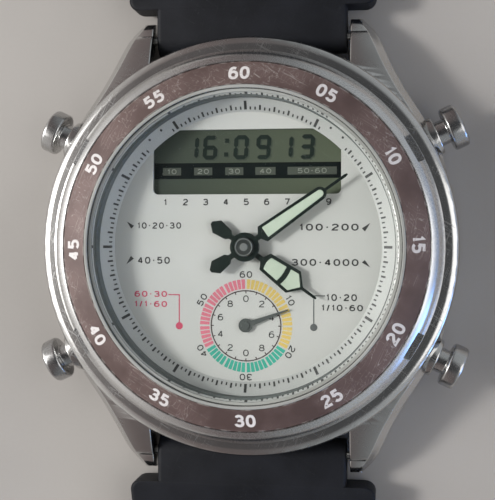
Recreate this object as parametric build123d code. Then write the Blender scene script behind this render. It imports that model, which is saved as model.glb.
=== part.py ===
from build123d import *
import os
from math import atan2, cos, hypot, pi, radians, sin

# Wrist watch with two hands, a small dial and a digital display, strap laid open.
# Millimetres. The dial faces +Z, twelve o'clock is +Y, three o'clock is +X.
# The origin is the middle of the caseback's underside, on which the watch rests.

# Fits shared by all pieces
run_gap = 0.05          # radial clearance of a pin, shaft or pusher that moves
seat_gap = 0.03         # clearance of a piece that drops into a recess
strap_gap = 0.35        # side clearance of the soft strap between metal faces
overrun = 1.0           # how far a cut passes the face that it opens

# Case middle: walls and ledges, from the dial's edge outwards
case_bottom = 0.9
case_ledge = 1.45
case_shoulder = 0.7
case_rise = 0.9
dial_hold = 0.7
crystal_seat = 0.25
neck_wall = 1.0
neck_rise = 0.6

# Lugs, with the spring bar's place
lug_gap = 20.2
bar_stand_off = 0.65
bar_z = 2.6
lug_tip_r = 1.7
lug_root_drop = 0.6
lug_relief_gap = 0.6
lug_relief_height = 0.9
flank_shares = [(0.935, 0.229), (0.831, 0.420), (0.657, 0.565), (0.507, 0.673),
                (0.376, 0.788), (0.296, 0.879), (0.221, 0.959), (0.085, 1.000)]
lug_crest_shares = [(0.20, 1.00), (0.61, 0.93)]
lug_tip_angle = 60

# Spring bars
bar_r = 0.75
bar_tip_r = 0.4
bar_tip_length = 0.75

# Bezel and its insert
bezel_slope = 1.45
bezel_rim_height = 0.35
bezel_lip = 0.35
bezel_lip_stand_off = 0.35
bezel_proud = 0.1
bezel_brow = 0.1
bezel_bend_in = 0.55
bezel_bend_drop = 0.55
flat_width = 2.8
flat_rise = 0.42
flat_depth = 0.8
flat_angles = [30, 150, 210, 330]
insert_width = 2.25
insert_fall = 0.85
insert_sink = 0.05
insert_thick = 0.4

# Crystal and its gasket
crystal_thick = 1.5
crystal_bevel = 0.25
crystal_gasket_wall = 0.3
crystal_over_cap = 0.45

# Caseback and its gasket
back_overlap = 1.55
back_edge = 1.6
back_edge_height = 0.35
spigot_wall = 0.7
spigot_height = 1.3
wrench_notch_count = 6
wrench_notch_width = 2.2
wrench_notch_depth = 0.8
back_gasket_wall = 0.9
back_gasket_thick = 0.25

# Dial and its window
dial_thick = 0.4
dial_lift = 0.1
dial_border = 1.7235
dial_edge_gap = 0.1
dial_hole_r = 1.2
window_width = 18.7
window_height = 6.4
window_y = 8.4
window_chamfer_x = 2.2
window_chamfer_y = 1.8
window_corner_r = 0.5
small_dial_y = -7.73
small_hole_r = 0.45
dial_foot_r = 0.35
dial_foot_length = 1.6
dial_foot_places = [(12.6, 2.6), (-12.6, 2.6)]

# Display
lcd_margin = 0.6
lcd_glass_thick = 0.55
lcd_film_thick = 0.1
lcd_ledge = 0.9
zebra_length = 12.0
zebra_width = 1.1
zebra_y = [5.35, 11.35]

# Module: housing, board, plates
module_height = 3.7
board_thick = 0.4
board_edge = 1.2
back_plate_stand = 1.05
back_plate_edge = 1.4
back_plate_thick = 0.25
back_plate_space = 0.3
plate_screw_r = 0.4
plate_screw_head_r = 0.8
plate_screw_head = 0.3
plate_screw_length = 2.0
plate_screw_inset = 3.2
plate_screw_angles = [48, 180, 262]
chip_size = 4.6
chip_x = 4.2
chip_y = 7.6
quartz_r = 0.75
quartz_length = 4.6
quartz_x = 10.3
quartz_y = 1.4

# Battery and its clip
battery_r = 4.75
battery_thick = 2.7
battery_step_r = 4.0
battery_step = 0.25
battery_x = -6.6
battery_y = -2.6
battery_lift = 0.2
clip_plate_thick = 0.2
clip_plate_width = 3.0
clip_plate_reach = 1.4

# Buzzer
buzzer_r = 8.0
buzzer_plate_thick = 0.12
buzzer_ceramic_r = 5.4
buzzer_ceramic_thick = 0.12
buzzer_spring_width = 0.7
buzzer_spring_thick = 0.12
buzzer_spring_length = 3.4
buzzer_spring_y = 9.0

# Two stepping motors: coil on one leg of a closed iron frame, rotor hole in the other
coil_r = 1.0
coil_length = 6.4
iron_thick = 0.5
iron_leg = 0.8
iron_window = 1.1
iron_pole = 1.7
iron_end = 0.8
rotor_hole_r = 0.55
motor_rise = 1.5
motor_places = [(7.5, -2.2, 90), (3.6, -11.6, 0)]

# Motion work and arbors
wheel_distance = 3.0
cannon_teeth = 12
minute_wheel_teeth = 36
minute_pinion_teeth = 10
hour_wheel_teeth = 40
small_wheel_teeth = 30
small_wheel_module = 0.12
wheel_thick = 0.25
wheel_gap = 0.1
gear_depth = 0.8
cannon_r = 0.6
hour_tube_r = 0.95
pivot_r = 0.3
pivot_depth = 0.9
small_arbor_r = 0.3
tooth_tip_share = 0.80
tooth_root_share = 1.15
tooth_tip_width_share = 0.10
tooth_root_width_share = 0.22

# Hands, with the angles at which they stand, clockwise from twelve
hand_thick = 0.15
small_hand_lift = 0.2
hour_hand_lift = 0.35
minute_hand_lift = 0.45
hand_hub_r = 1.43
hand_frame = 0.3
needle_half = 0.15
minute_angle = 54.8
hour_angle = 125.7
small_angle = 69.4
minute_reach = 12.25
minute_baton_start = 2.2
minute_baton_end = 9.0
minute_half_root = 0.875
minute_half_end = 0.66
hour_reach = 8.6
hour_baton_start = 2.45
hour_root_sag = 0.15
hour_widest = 5.85
hour_baton_end = 7.05
hour_half_root = 0.975
hour_half_wide = 1.285
hour_divider_start = 4.3
hour_divider_width = 0.5
hour_divider_sag = 0.25
tail_reach = 4.1
tail_shoulder = 3.43
tail_base = 2.04
tail_half_shoulder = 0.75
tail_half_base = 0.54
tail_half_tip = 0.15
hand_neck_half = 0.27
hand_neck_flare = 0.4
cap_r = 0.95
cap_height = 0.5
cap_edge = 0.15
small_hand_reach = 4.5
small_hand_hub_r = 0.69
small_hand_half = 0.3
small_hand_tip_half = 0.06
small_cap_r = 0.4
small_cap_height = 0.08

# Pushers with their collars on the case, seals, clips and contact springs
pusher_stand_out = 2.8
pusher_place_angle = 30.2
pusher_axis_angle = 25.0
pusher_rise = 1.5
pusher_travel = 0.9
head_r = 2.2
head_thick = 1.6
head_edge = 0.35
neck_pusher_r = 1.25
neck_length = 2.6
collar_r = 1.95
collar_height = 0.5
spot_face_r = 2.3
bore_length = 3.95
collar_stand_off = 1.05
stem_r = 0.5
stem_length = 5.9
seal_width = 0.5
clip_thick = 0.2
clip_r = 1.0
clip_groove_depth = 0.15
clip_from_end = 0.65
clip_mouth_share = 0.6
pusher_pocket_r = 1.2
pusher_pocket_spare = 0.85
contact_thick = 0.15
contact_width = 1.4
contact_height = 1.8

# Strap: width between the lugs, shoulders beyond them, taper, thickness
nose_r = 1.7
shoulder_start = 2.95
shoulder_width = 25.4
shoulder_corner_r = 1.0
strap_narrow_width = 18.4
strap_root_thick = 3.3
strap_thick = 2.4
root_length = 12.0
upper_length = 72.0
upper_taper_length = 45.0
lower_length = 115.0
lower_taper_length = 60.0
lower_tip_length = 9.0
hole_r = 1.05
hole_first = 50.0
hole_pitch = 7.0
hole_count = 7
tongue_notch_length = 5.0
tongue_notch_half = 1.3
strap_end_r = 1.7

# Buckle, tongue and keeper
frame_reach = 9.8
frame_back = 1.4
frame_wall = 1.6
frame_bar_width = 2.0
frame_thick = 1.9
frame_corner_r = 2.0
buckle_tip_length = 1.0
tongue_width = 1.7
tongue_thick = 0.95
tongue_eye_wall = 0.65
tongue_overhang = 0.5
keeper_place = 53.0
keeper_length = 6.0
keeper_wall = 1.1
keeper_corner_r = 0.9
keeper_under_gap = 0.2
keeper_over_gap = 0.3

# Radii that follow, from the display window outwards
window_low = window_y - window_height / 2
window_high = window_y + window_height / 2
dial_r = hypot(window_width / 2 - window_chamfer_x, window_high) + dial_border
chamber_r = dial_r + dial_edge_gap
module_r = chamber_r - run_gap
board_r = module_r - board_edge
back_plate_r = module_r - back_plate_edge
plate_screw_circle_r = module_r - plate_screw_inset
shelf_r = dial_r - dial_hold
crystal_r = shelf_r + crystal_seat
neck_r = crystal_r + crystal_gasket_wall + neck_wall
bezel_lip_r = crystal_r + bezel_lip_stand_off
insert_inner_r = bezel_lip_r + bezel_lip
insert_outer_r = insert_inner_r + insert_width
bezel_r = insert_outer_r + bezel_slope
flat_inner_r = bezel_r - flat_depth
case_r = bezel_r + case_ledge
back_r = chamber_r + back_overlap
back_flat_r = back_r - back_edge
half_gap = lug_gap / 2
bar_y = case_r + bar_stand_off
lug_reach = bar_y + lug_tip_r
pusher_radius = case_r + pusher_stand_out

# Heights that follow, from the back upwards
back_plate_z = case_bottom + back_plate_stand
board_z = back_plate_z + back_plate_thick + back_plate_space
module_low = board_z + board_thick
module_top = module_low + module_height
dial_z = module_top + dial_lift
dial_top = dial_z + dial_thick
small_hand_z = dial_top + small_hand_lift
hour_hand_z = small_hand_z + hour_hand_lift
minute_hand_z = hour_hand_z + minute_hand_lift
shelf_top = minute_hand_z + hand_thick + cap_height + crystal_over_cap
crystal_top = shelf_top + crystal_thick
neck_top = shelf_top + neck_rise
case_top = dial_top + case_rise
bezel_top = crystal_top + bezel_proud
insert_inner_z = bezel_top - insert_sink
insert_outer_z = insert_inner_z - insert_fall
lug_root_top = case_top - lug_root_drop
lug_relief_top = bar_z + nose_r + lug_relief_height
lug_relief_y = bar_y - nose_r - lug_relief_gap
battery_low = back_plate_z + battery_lift
motor_mid_z = module_low + motor_rise
pusher_z = module_low + pusher_rise
gear_floor = module_top - gear_depth
film_z = module_top - lcd_film_thick
front_glass_z = film_z - lcd_glass_thick
rear_glass_z = front_glass_z - lcd_glass_thick
cannon_z = gear_floor + seat_gap
hour_wheel_z = cannon_z + wheel_thick + wheel_gap
cannon_module = 2 * wheel_distance / (cannon_teeth + minute_wheel_teeth)
hour_module = 2 * wheel_distance / (minute_pinion_teeth + hour_wheel_teeth)

# Places along the pushers and the strap that follow
flank_distance = head_thick / 2 + collar_stand_off
bore_end = flank_distance + bore_length
stem_end = head_thick / 2 + neck_length + stem_length
upper_floor = keeper_wall + keeper_under_gap
buckle_y = bar_y + upper_length
buckle_z = upper_floor + strap_thick / 2
frame_inner_half = strap_narrow_width / 2 + strap_gap


def disc(radius, low, high, x=0, y=0):
    """Round plate between two heights."""
    return extrude(Pos(x, y, low) * Circle(radius), high - low)


def tube(outer, inner, low, high):
    """Straight ring about the watch's axis."""
    return extrude(Pos(0, 0, low) * (Circle(outer) - Circle(inner)), high - low)


def slab(size_x, size_y, low, high, x=0, y=0):
    """Rectangular plate between two heights."""
    return extrude(Pos(x, y, low) * Rectangle(size_x, size_y), high - low)


def turned(points):
    """Solid turned about the watch's axis from (radius, height) points."""
    return revolve(make_face(Plane.XZ * Polyline(*points, close=True)), Axis.Z)


def mirrored_y(shape):
    """The same shape at the opposite side, towards six o'clock."""
    return mirror(shape, about=Plane.XZ)


def crosswise(face, width):
    """Slab of a (y, z) outline, as wide as said and centred on the middle plane."""
    return Pos(-width / 2, 0, 0) * extrude(Plane.YZ * face, width)


def lug_plan():
    """Outline of the twelve o'clock, three o'clock lug seen from above."""
    span = case_r - half_gap
    points = [(half_gap + span * x, lug_reach * y) for x, y in flank_shares]
    leave = atan2(points[0][1], points[0][0])
    flank = Spline(*points, tangents=[(-sin(leave), cos(leave)), (-1, 0)])
    inner = Polyline(points[-1], (half_gap, lug_reach), (half_gap, 0), (points[0][0], 0), points[0])
    return make_face(flank + inner)


def lug_side():
    """Outline of a lug seen from the side: crest, end round the spring bar, underside."""
    ridge = [(lug_reach * y, lug_root_top * z) for y, z in lug_crest_shares]
    lean = radians(lug_tip_angle)
    meet = (bar_y + lug_tip_r * cos(lean), bar_z + lug_tip_r * sin(lean))
    under = bar_z - lug_tip_r
    crest = Spline(*ridge, meet, tangents=[(1, 0), (sin(lean), -cos(lean))])
    end = ThreePointArc(meet, (lug_reach, bar_z), (bar_y, under))
    rest = Polyline((bar_y, under), (ridge[0][0], under), ridge[0])
    return make_face(crest + end + rest)


def lug():
    """One lug with the blind hole for the bar's tip."""
    block = extrude(lug_plan(), case_top)
    horn = block & crosswise(lug_side(), 2 * case_r)
    hole = Plane(origin=(half_gap, bar_y, bar_z), z_dir=(1, 0, 0)).location
    bore = Cylinder(bar_tip_r + seat_gap, 2 * (bar_tip_length + run_gap))
    return horn - hole * bore


def pusher_location(side, level):
    """Place of a pusher: local +Z points outwards from the middle of its head."""
    place = radians(pusher_place_angle)
    lean = radians(pusher_axis_angle)
    head = (side * pusher_radius * cos(place), level * pusher_radius * sin(place), pusher_z)
    return Plane(origin=head, x_dir=(0, 0, 1), z_dir=(side * cos(lean), level * sin(lean), 0)).location


def inward(radius, start, stop):
    """Round bar along a pusher's axis, between two distances inwards of its head."""
    return extrude(Pos(0, 0, -stop) * Circle(radius), stop - start)


pusher_places = {
    "at_two": pusher_location(1, 1),
    "at_four": pusher_location(1, -1),
    "at_eight": pusher_location(-1, -1),
    "at_ten": pusher_location(-1, 1),
}


def case_middle():
    """Steel case: drum, four lugs, chamber, crystal seat and pusher holes."""
    drum = disc(case_r, case_bottom, case_top)
    drum = chamfer(drum.edges().group_by(Axis.Z)[-1], case_shoulder)
    right = lug()
    right = right + mirrored_y(right)
    body = drum + right + mirror(right, about=Plane.YZ)
    body = body + disc(neck_r, case_top - case_shoulder, neck_top)
    body = body - disc(chamber_r, case_bottom - overrun, dial_top)
    body = body - disc(shelf_r, dial_z, shelf_top + overrun)
    body = body - disc(crystal_r + crystal_gasket_wall, shelf_top, neck_top + overrun)
    relief_depth = lug_reach + overrun - lug_relief_y
    relief = slab(lug_gap, relief_depth, case_bottom - overrun, lug_relief_top,
                  y=lug_relief_y + relief_depth / 2)
    body = body - relief - mirrored_y(relief)
    for place in pusher_places.values():
        body = body - place * inward(spot_face_r, -overrun, flank_distance + collar_height)
        body = body + place * inward(collar_r, flank_distance, flank_distance + 2 * collar_height)
        body = body - place * pusher_hole()
    return body


def pusher_hole():
    """What a pusher needs out of the case: bore for the neck and stem hole."""
    bore = inward(neck_pusher_r + run_gap, 0, bore_end)
    return bore + inward(stem_r + run_gap, 0, stem_end + overrun)


def bezel():
    """Steel bezel pressed over the case neck, sloped, with four milled flats."""
    under = insert_thick + seat_gap
    lip_low = neck_top + seat_gap
    profile = [
        (neck_r + seat_gap, case_top),
        (bezel_r, case_top),
        (bezel_r, case_top + bezel_rim_height),
        (bezel_r - bezel_bend_in, insert_outer_z + bezel_brow - bezel_bend_drop),
        (insert_outer_r + seat_gap, insert_outer_z + bezel_brow),
        (insert_outer_r + seat_gap, insert_outer_z - under),
        (insert_inner_r - seat_gap, insert_inner_z - under),
        (insert_inner_r - seat_gap, bezel_top),
        (bezel_lip_r, bezel_top),
        (bezel_lip_r, lip_low),
        (neck_r + seat_gap, lip_low),
    ]
    ring = turned(profile)
    depth = bezel_r + overrun - flat_inner_r
    pocket = slab(depth, flat_width, case_top + flat_rise, bezel_top, x=flat_inner_r + depth / 2)
    for angle in flat_angles:
        ring = ring - Rot(0, 0, angle) * pocket
    return ring


def bezel_insert():
    """Thin dished ring that carries the numerals, bonded into the bezel."""
    return turned([
        (insert_outer_r, insert_outer_z),
        (insert_inner_r, insert_inner_z),
        (insert_inner_r, insert_inner_z - insert_thick),
        (insert_outer_r, insert_outer_z - insert_thick),
    ])


def crystal():
    """Mineral glass with a bevelled edge."""
    return turned([
        (0, shelf_top),
        (crystal_r, shelf_top),
        (crystal_r, crystal_top - crystal_bevel),
        (crystal_r - crystal_bevel, crystal_top),
        (0, crystal_top),
    ])


def crystal_gasket():
    """Plastic ring that grips the crystal's edge inside the case neck."""
    return tube(crystal_r + crystal_gasket_wall, crystal_r, shelf_top, crystal_top - crystal_bevel)


def caseback():
    """Screwed steel back with wrench notches round its edge."""
    spigot_r = chamber_r - run_gap
    flange_top = case_bottom - back_gasket_thick
    top = case_bottom + spigot_height
    body = turned([
        (0, 0),
        (back_flat_r, 0),
        (back_r, back_edge_height),
        (back_r, flange_top),
        (spigot_r, flange_top),
        (spigot_r, top),
        (spigot_r - spigot_wall, top),
        (spigot_r - spigot_wall, case_bottom),
        (0, case_bottom),
    ])
    notch = slab(2 * wrench_notch_depth, wrench_notch_width, -overrun, flange_top - seat_gap, x=back_r)
    for step in range(wrench_notch_count):
        body = body - Rot(0, 0, 360 * step / wrench_notch_count) * notch
    return body


def caseback_gasket():
    """Flat rubber ring between the back's flange and the case's underside."""
    return tube(chamber_r + back_gasket_wall, chamber_r, case_bottom - back_gasket_thick, case_bottom)


def window_outline():
    """Display window: top corners cut, bottom corners rounded."""
    half = window_width / 2
    points = [
        (-half, window_low),
        (half, window_low),
        (half, window_high - window_chamfer_y),
        (half - window_chamfer_x, window_high),
        (-half + window_chamfer_x, window_high),
        (-half, window_high - window_chamfer_y),
    ]
    face = make_face(Polyline(*points, close=True))
    return fillet(face.vertices().group_by(Axis.Y)[0], window_corner_r)


def dial():
    """Dial plate with window, arbor holes and two feet."""
    plate = disc(dial_r, dial_z, dial_top)
    plate = plate - extrude(Pos(0, 0, dial_z - overrun) * window_outline(), dial_thick + 2 * overrun)
    plate = plate - disc(dial_hole_r, dial_z - overrun, dial_top + overrun)
    plate = plate - disc(small_hole_r, dial_z - overrun, dial_top + overrun, y=small_dial_y)
    for x, y in dial_foot_places:
        plate = plate + disc(dial_foot_r, dial_z - dial_foot_length, dial_z, x=x, y=y)
    return plate


def lcd_outline(margin):
    """Outline of the display cell, larger than the window by a margin."""
    return offset(window_outline(), margin, kind=Kind.INTERSECTION)


def lcd_plate(low, thick, shorten):
    """One layer of the display cell; the front glass is shorter to bare the contacts."""
    plate = extrude(Pos(0, 0, low) * lcd_outline(lcd_margin), thick)
    if shorten:
        trim = slab(2 * window_width, 2 * shorten, low - overrun, low + thick + overrun,
                    y=window_low - lcd_margin)
        plate = plate - trim
    return plate


def zebra_strips():
    """Two rubber connectors standing between the circuit board and the display."""
    strips = []
    for y in zebra_y:
        strips.append(slab(zebra_length, zebra_width, module_low, rear_glass_z, y=y))
    return strips


def module_housing():
    """Moulded module body: pockets for display, wheels, battery, motors and switches."""
    body = disc(module_r, module_low, module_top)
    body = body - extrude(Pos(0, 0, rear_glass_z) * lcd_outline(lcd_margin + seat_gap), module_top)
    body = body - wheel_pockets()
    body = body + disc(pivot_r - run_gap, gear_floor, module_top - seat_gap, x=wheel_distance)
    for y in [0, small_dial_y]:
        body = body - disc(pivot_r + run_gap, gear_floor - pivot_depth - seat_gap, module_top, y=y)
    for y in zebra_y:
        slot = zebra_width + 2 * seat_gap
        body = body - slab(zebra_length + 2 * seat_gap, slot, module_low - overrun, module_top, y=y)
    battery_top = battery_low + battery_thick + seat_gap
    body = body - disc(battery_r + seat_gap, 0, battery_top, x=battery_x, y=battery_y)
    quartz_pocket = 2 * (quartz_r + seat_gap)
    body = body - slab(quartz_pocket, quartz_length + 2 * seat_gap, 0, module_low + quartz_pocket,
                       x=quartz_x, y=quartz_y)
    for x, y, turn in motor_places:
        body = body - Location((x, y, 0), (0, 0, turn)) * motor_pocket()
    for place in pusher_places.values():
        body = body - place * inward(pusher_pocket_r, 0, stem_end + pusher_travel + pusher_pocket_spare)
    for angle in plate_screw_angles:
        body = body - screw_bar(angle, plate_screw_r + seat_gap)
    for x, y in dial_foot_places:
        body = body - disc(dial_foot_r + seat_gap, dial_z - dial_foot_length - seat_gap, dial_z, x=x, y=y)
    return body


def wheel_pockets():
    """Space under the dial in which the motion work and the small wheel turn."""
    hour_tip = gear_tip(hour_wheel_teeth, hour_module)
    minute_tip = gear_tip(minute_wheel_teeth, cannon_module)
    small_tip = gear_tip(small_wheel_teeth, small_wheel_module)
    centre = disc(hour_tip + wheel_gap, gear_floor, dial_z)
    idler = disc(minute_tip + wheel_gap, gear_floor, dial_z, x=wheel_distance)
    small = disc(small_tip + wheel_gap, gear_floor, dial_z, y=small_dial_y)
    return [centre, idler, small]


def screw_bar(angle, radius):
    """Round bar where a plate screw goes up into the module."""
    x = plate_screw_circle_r * cos(radians(angle))
    y = plate_screw_circle_r * sin(radians(angle))
    return disc(radius, back_plate_z - overrun, back_plate_z + plate_screw_length + seat_gap, x=x, y=y)


def motor_pocket():
    """Pocket under a motor, in the motor's own frame."""
    length = coil_length + 2 * iron_end + 2 * seat_gap
    low_y = -coil_r - seat_gap
    high_y = iron_leg / 2 + iron_window + iron_pole + seat_gap
    return slab(length, high_y - low_y, module_low - overrun, motor_mid_z + coil_r + seat_gap,
                y=(high_y + low_y) / 2)


def motor_coil():
    """Winding on the motor's long leg, in the motor's own frame."""
    lie = Plane(origin=(-coil_length / 2, 0, motor_mid_z), x_dir=(0, 1, 0), z_dir=(1, 0, 0))
    core = Rectangle(iron_leg + 2 * seat_gap, iron_thick + 2 * seat_gap)
    return extrude(lie * (Circle(coil_r) - core), coil_length)


def motor_iron():
    """Closed iron frame through the coil, with the rotor's hole."""
    outer_length = coil_length + 2 * iron_end
    high_y = iron_leg / 2 + iron_window + iron_pole
    low = motor_mid_z - iron_thick / 2
    high = motor_mid_z + iron_thick / 2
    frame = slab(outer_length, high_y + iron_leg / 2, low, high, y=(high_y - iron_leg / 2) / 2)
    inside = slab(coil_length + 2 * seat_gap, iron_window, low - overrun, high + overrun,
                  y=(iron_leg + iron_window) / 2)
    hole = disc(rotor_hole_r, low - overrun, high + overrun, y=high_y - iron_pole / 2)
    return frame - inside - hole


def placed_motors(piece):
    """A motor piece at both motors' places."""
    return [Location((x, y, 0), (0, 0, turn)) * piece for x, y, turn in motor_places]


def circuit_board():
    """Round board under the module housing, open for the battery and the screws."""
    board = disc(board_r, board_z, module_low)
    board = board - disc(battery_r + seat_gap, 0, module_low + overrun, x=battery_x, y=battery_y)
    for angle in plate_screw_angles:
        board = board - screw_bar(angle, plate_screw_r + seat_gap)
    return board


def microchip():
    """Sealed chip on the underside of the board."""
    low = back_plate_z + back_plate_thick + seat_gap
    block = slab(chip_size, chip_size, low, board_z, x=chip_x, y=chip_y)
    return chamfer(block.edges().group_by(Axis.Z)[0], back_plate_space / 3)


def quartz_can():
    """Small round can of the quartz crystal, lying in its pocket."""
    lie = Plane(origin=(quartz_x, quartz_y - quartz_length / 2, module_low + quartz_r + seat_gap),
                z_dir=(0, 1, 0))
    return extrude(lie * Circle(quartz_r), quartz_length)


def battery():
    """Button cell, its narrower negative side up."""
    top = battery_low + battery_thick
    lower = disc(battery_r, battery_low, top - battery_step, x=battery_x, y=battery_y)
    return lower + disc(battery_step_r, top - battery_step, top, x=battery_x, y=battery_y)


def back_plate():
    """Thin steel plate screwed over the board, open for the battery."""
    plate = disc(back_plate_r, back_plate_z, back_plate_z + back_plate_thick)
    plate = plate - disc(battery_r + seat_gap, 0, module_low, x=battery_x, y=battery_y)
    for angle in plate_screw_angles:
        plate = plate - screw_bar(angle, plate_screw_r + seat_gap)
    return plate


def battery_clip():
    """Spring strap across the battery, its ends on the back plate."""
    length = 2 * (battery_r + clip_plate_reach)
    high = back_plate_z
    strap = slab(length, clip_plate_width, high - clip_plate_thick, high)
    strap = strap + slab(battery_r, clip_plate_width / 2, high, battery_low)
    return Location((battery_x, battery_y, 0), (0, 0, 90)) * strap


def plate_screws():
    """Screws that hold the back plate to the module."""
    screws = []
    head_low = back_plate_z - plate_screw_head
    for angle in plate_screw_angles:
        x = plate_screw_circle_r * cos(radians(angle))
        y = plate_screw_circle_r * sin(radians(angle))
        screw = disc(plate_screw_head_r, head_low, back_plate_z)
        screw = screw + disc(plate_screw_r, back_plate_z, back_plate_z + plate_screw_length)
        screws.append(Pos(x, y, 0) * screw)
    return screws


def buzzer_disc():
    """Brass disc with its ceramic layer, bonded inside the caseback."""
    plate_top = case_bottom + buzzer_plate_thick
    return disc(buzzer_r, case_bottom, plate_top) + disc(
        buzzer_ceramic_r, plate_top, plate_top + buzzer_ceramic_thick)


def buzzer_spring():
    """Bent leaf between the back plate and the buzzer disc."""
    low = case_bottom + buzzer_plate_thick
    foot = buzzer_spring_length / 3
    y = buzzer_spring_y - buzzer_spring_length
    path = [(y, low), (y + foot, low), (y + 2 * foot, back_plate_z - buzzer_spring_thick),
            (y + 3 * foot, back_plate_z - buzzer_spring_thick)]
    top = [(a, b + buzzer_spring_thick) for a, b in reversed(path)]
    return crosswise(make_face(Polyline(*path, *top, close=True)), buzzer_spring_width)


def contact_spring():
    """Leaf that a pusher's stem presses, in the pusher's own frame."""
    face = stem_end + pusher_travel + seat_gap
    low = contact_thick + face
    return extrude(Pos(0, 0, -low) * Rectangle(contact_height, contact_width), contact_thick)


def gear_tip(teeth, module):
    """Radius over a wheel's teeth."""
    return module * (teeth / 2 + tooth_tip_share)


def gear(teeth, module, low, thick, turn=0):
    """Toothed wheel with straight-sided teeth; a tooth points to +X before the turn."""
    tip = gear_tip(teeth, module)
    root = module * (teeth / 2 - tooth_root_share)
    points = []
    for tooth in range(teeth):
        for radius, share in [(root, -tooth_root_width_share), (tip, -tooth_tip_width_share),
                              (tip, tooth_tip_width_share), (root, tooth_root_width_share)]:
            angle = 2 * pi * (tooth + share) / teeth + radians(turn)
            points.append((radius * cos(angle), radius * sin(angle)))
    return extrude(Pos(0, 0, low) * make_face(Polyline(*points, close=True)), thick)


def cannon_pinion():
    """Centre pinion whose pipe carries the minute hand, with its lower pivot."""
    pinion = gear(cannon_teeth, cannon_module, cannon_z, wheel_thick)
    pipe = disc(cannon_r, cannon_z, minute_hand_z + hand_thick)
    return pinion + pipe + disc(pivot_r, gear_floor - pivot_depth, cannon_z)


def minute_wheel():
    """Idler between the centre pinion and the hour wheel, turning on the module's post."""
    half_tooth = 180 / minute_wheel_teeth
    wheel = gear(minute_wheel_teeth, cannon_module, cannon_z, wheel_thick, turn=180 + half_tooth)
    top = hour_wheel_z + wheel_thick
    pinion = gear(minute_pinion_teeth, hour_module, cannon_z, top - cannon_z,
                  turn=180 + 180 / minute_pinion_teeth)
    bore = disc(pivot_r, cannon_z - overrun, top + overrun)
    return Pos(wheel_distance, 0, 0) * (wheel + pinion - bore)


def hour_wheel():
    """Hour wheel, its pipe round the centre pinion's pipe and under the hour hand."""
    wheel = gear(hour_wheel_teeth, hour_module, hour_wheel_z, wheel_thick)
    top = hour_hand_z + hand_thick
    pipe = disc(hour_tube_r, hour_wheel_z, top)
    return wheel + pipe - disc(cannon_r + run_gap, hour_wheel_z - overrun, top + overrun)


def small_wheel():
    """Wheel and arbor of the small dial's hand."""
    wheel = gear(small_wheel_teeth, small_wheel_module, cannon_z, wheel_thick)
    arbor = disc(small_arbor_r, gear_floor - pivot_depth, small_hand_z + hand_thick)
    return Pos(0, small_dial_y, 0) * (wheel + arbor)


def outline_both_sides(points):
    """Closed outline from (half width, reach) points, mirrored in the hand's length."""
    left = [(-x, y) for x, y in reversed(points)]
    return make_face(Polyline(*points, *left, close=True))


def tail_outline():
    """Kite-shaped counterweight behind the hub."""
    neck = outline_both_sides([(hand_neck_half, 0), (hand_neck_half, -tail_base)])
    kite = outline_both_sides([
        (hand_neck_half, -tail_base + tail_half_base - hand_neck_half),
        (tail_half_base, -tail_base),
        (tail_half_shoulder, -tail_shoulder),
        (tail_half_tip, -tail_reach),
    ])
    return neck + kite


def baton_end(half, start):
    """Rounded end of the minute hand's baton."""
    return ThreePointArc((half, start), (0, start + half), (-half, start))


def minute_outline(inset):
    """Outline of the minute hand's baton, drawn in by an inset for the filling."""
    root = minute_half_root - inset
    start = minute_baton_start + inset
    half = minute_half_end - inset
    sides = Polyline((-half, minute_baton_end), (-root, start), (root, start), (half, minute_baton_end))
    return make_face(sides + baton_end(half, minute_baton_end))


def hour_outline(inset):
    """Outline of the hour hand's leaf, drawn in by an inset for the filling."""
    root = hour_half_root - inset
    start = hour_baton_start + inset
    wide = hour_half_wide - inset
    tip = (0, hour_baton_end - inset * hour_baton_end / hour_widest)
    leaf = Polyline((root, start), (wide, hour_widest), tip, (-wide, hour_widest), (-root, start))
    base = ThreePointArc((-root, start), (0, start - hour_root_sag), (root, start))
    return make_face(leaf + base)


def hour_divider():
    """Curved bar across the hour hand that parts its filling."""
    half = hour_half_wide
    low = hour_divider_start
    high = hour_divider_start + hour_divider_width
    lower = ThreePointArc((half, low), (0, low + hour_divider_sag), (-half, low))
    upper = ThreePointArc((-half, high), (0, high + hour_divider_sag), (half, high))
    return make_face(lower + Line((-half, low), (-half, high)) + upper + Line((half, high), (half, low)))


def hand_plate(body, window, reach, start, root, bore_r):
    """Hand cut from sheet: framed blade, needle, tail and hub with its bore."""
    needle = outline_both_sides([(needle_half, start), (needle_half, reach - 2 * needle_half),
                                 (needle_half / 2, reach)])
    half, height = root
    neck = outline_both_sides([(hand_neck_half, 0), (hand_neck_half, height - hand_neck_flare),
                               (half, height)])
    face = body + needle + tail_outline() + neck + Circle(hand_hub_r) - window - Circle(bore_r)
    return extrude(face, hand_thick)


def turned_to(shape, clock_angle, low, y=0):
    """A hand's piece set at its clock angle and height."""
    return Location((0, y, low), (0, 0, -clock_angle)) * shape


def minute_hand():
    """Long hand."""
    root = (minute_half_root, minute_baton_start)
    plate = hand_plate(minute_outline(0), minute_outline(hand_frame), minute_reach,
                       minute_baton_end + minute_half_end / 2, root, cannon_r)
    return turned_to(plate, minute_angle, minute_hand_z)


def minute_lume():
    """Luminous filling of the long hand."""
    return turned_to(extrude(minute_outline(hand_frame), hand_thick), minute_angle, minute_hand_z)


def hour_window():
    """The two openings in the hour hand's leaf."""
    return hour_outline(hand_frame) - hour_divider()


def hour_hand():
    """Short hand."""
    root = (hour_half_root, hour_baton_start)
    plate = hand_plate(hour_outline(0), hour_window(), hour_reach, hour_baton_end - hand_frame,
                       root, hour_tube_r)
    return turned_to(plate, hour_angle, hour_hand_z)


def hour_lume():
    """Luminous filling of the short hand, in two fields."""
    return turned_to(extrude(hour_window(), hand_thick), hour_angle, hour_hand_z)


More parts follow.
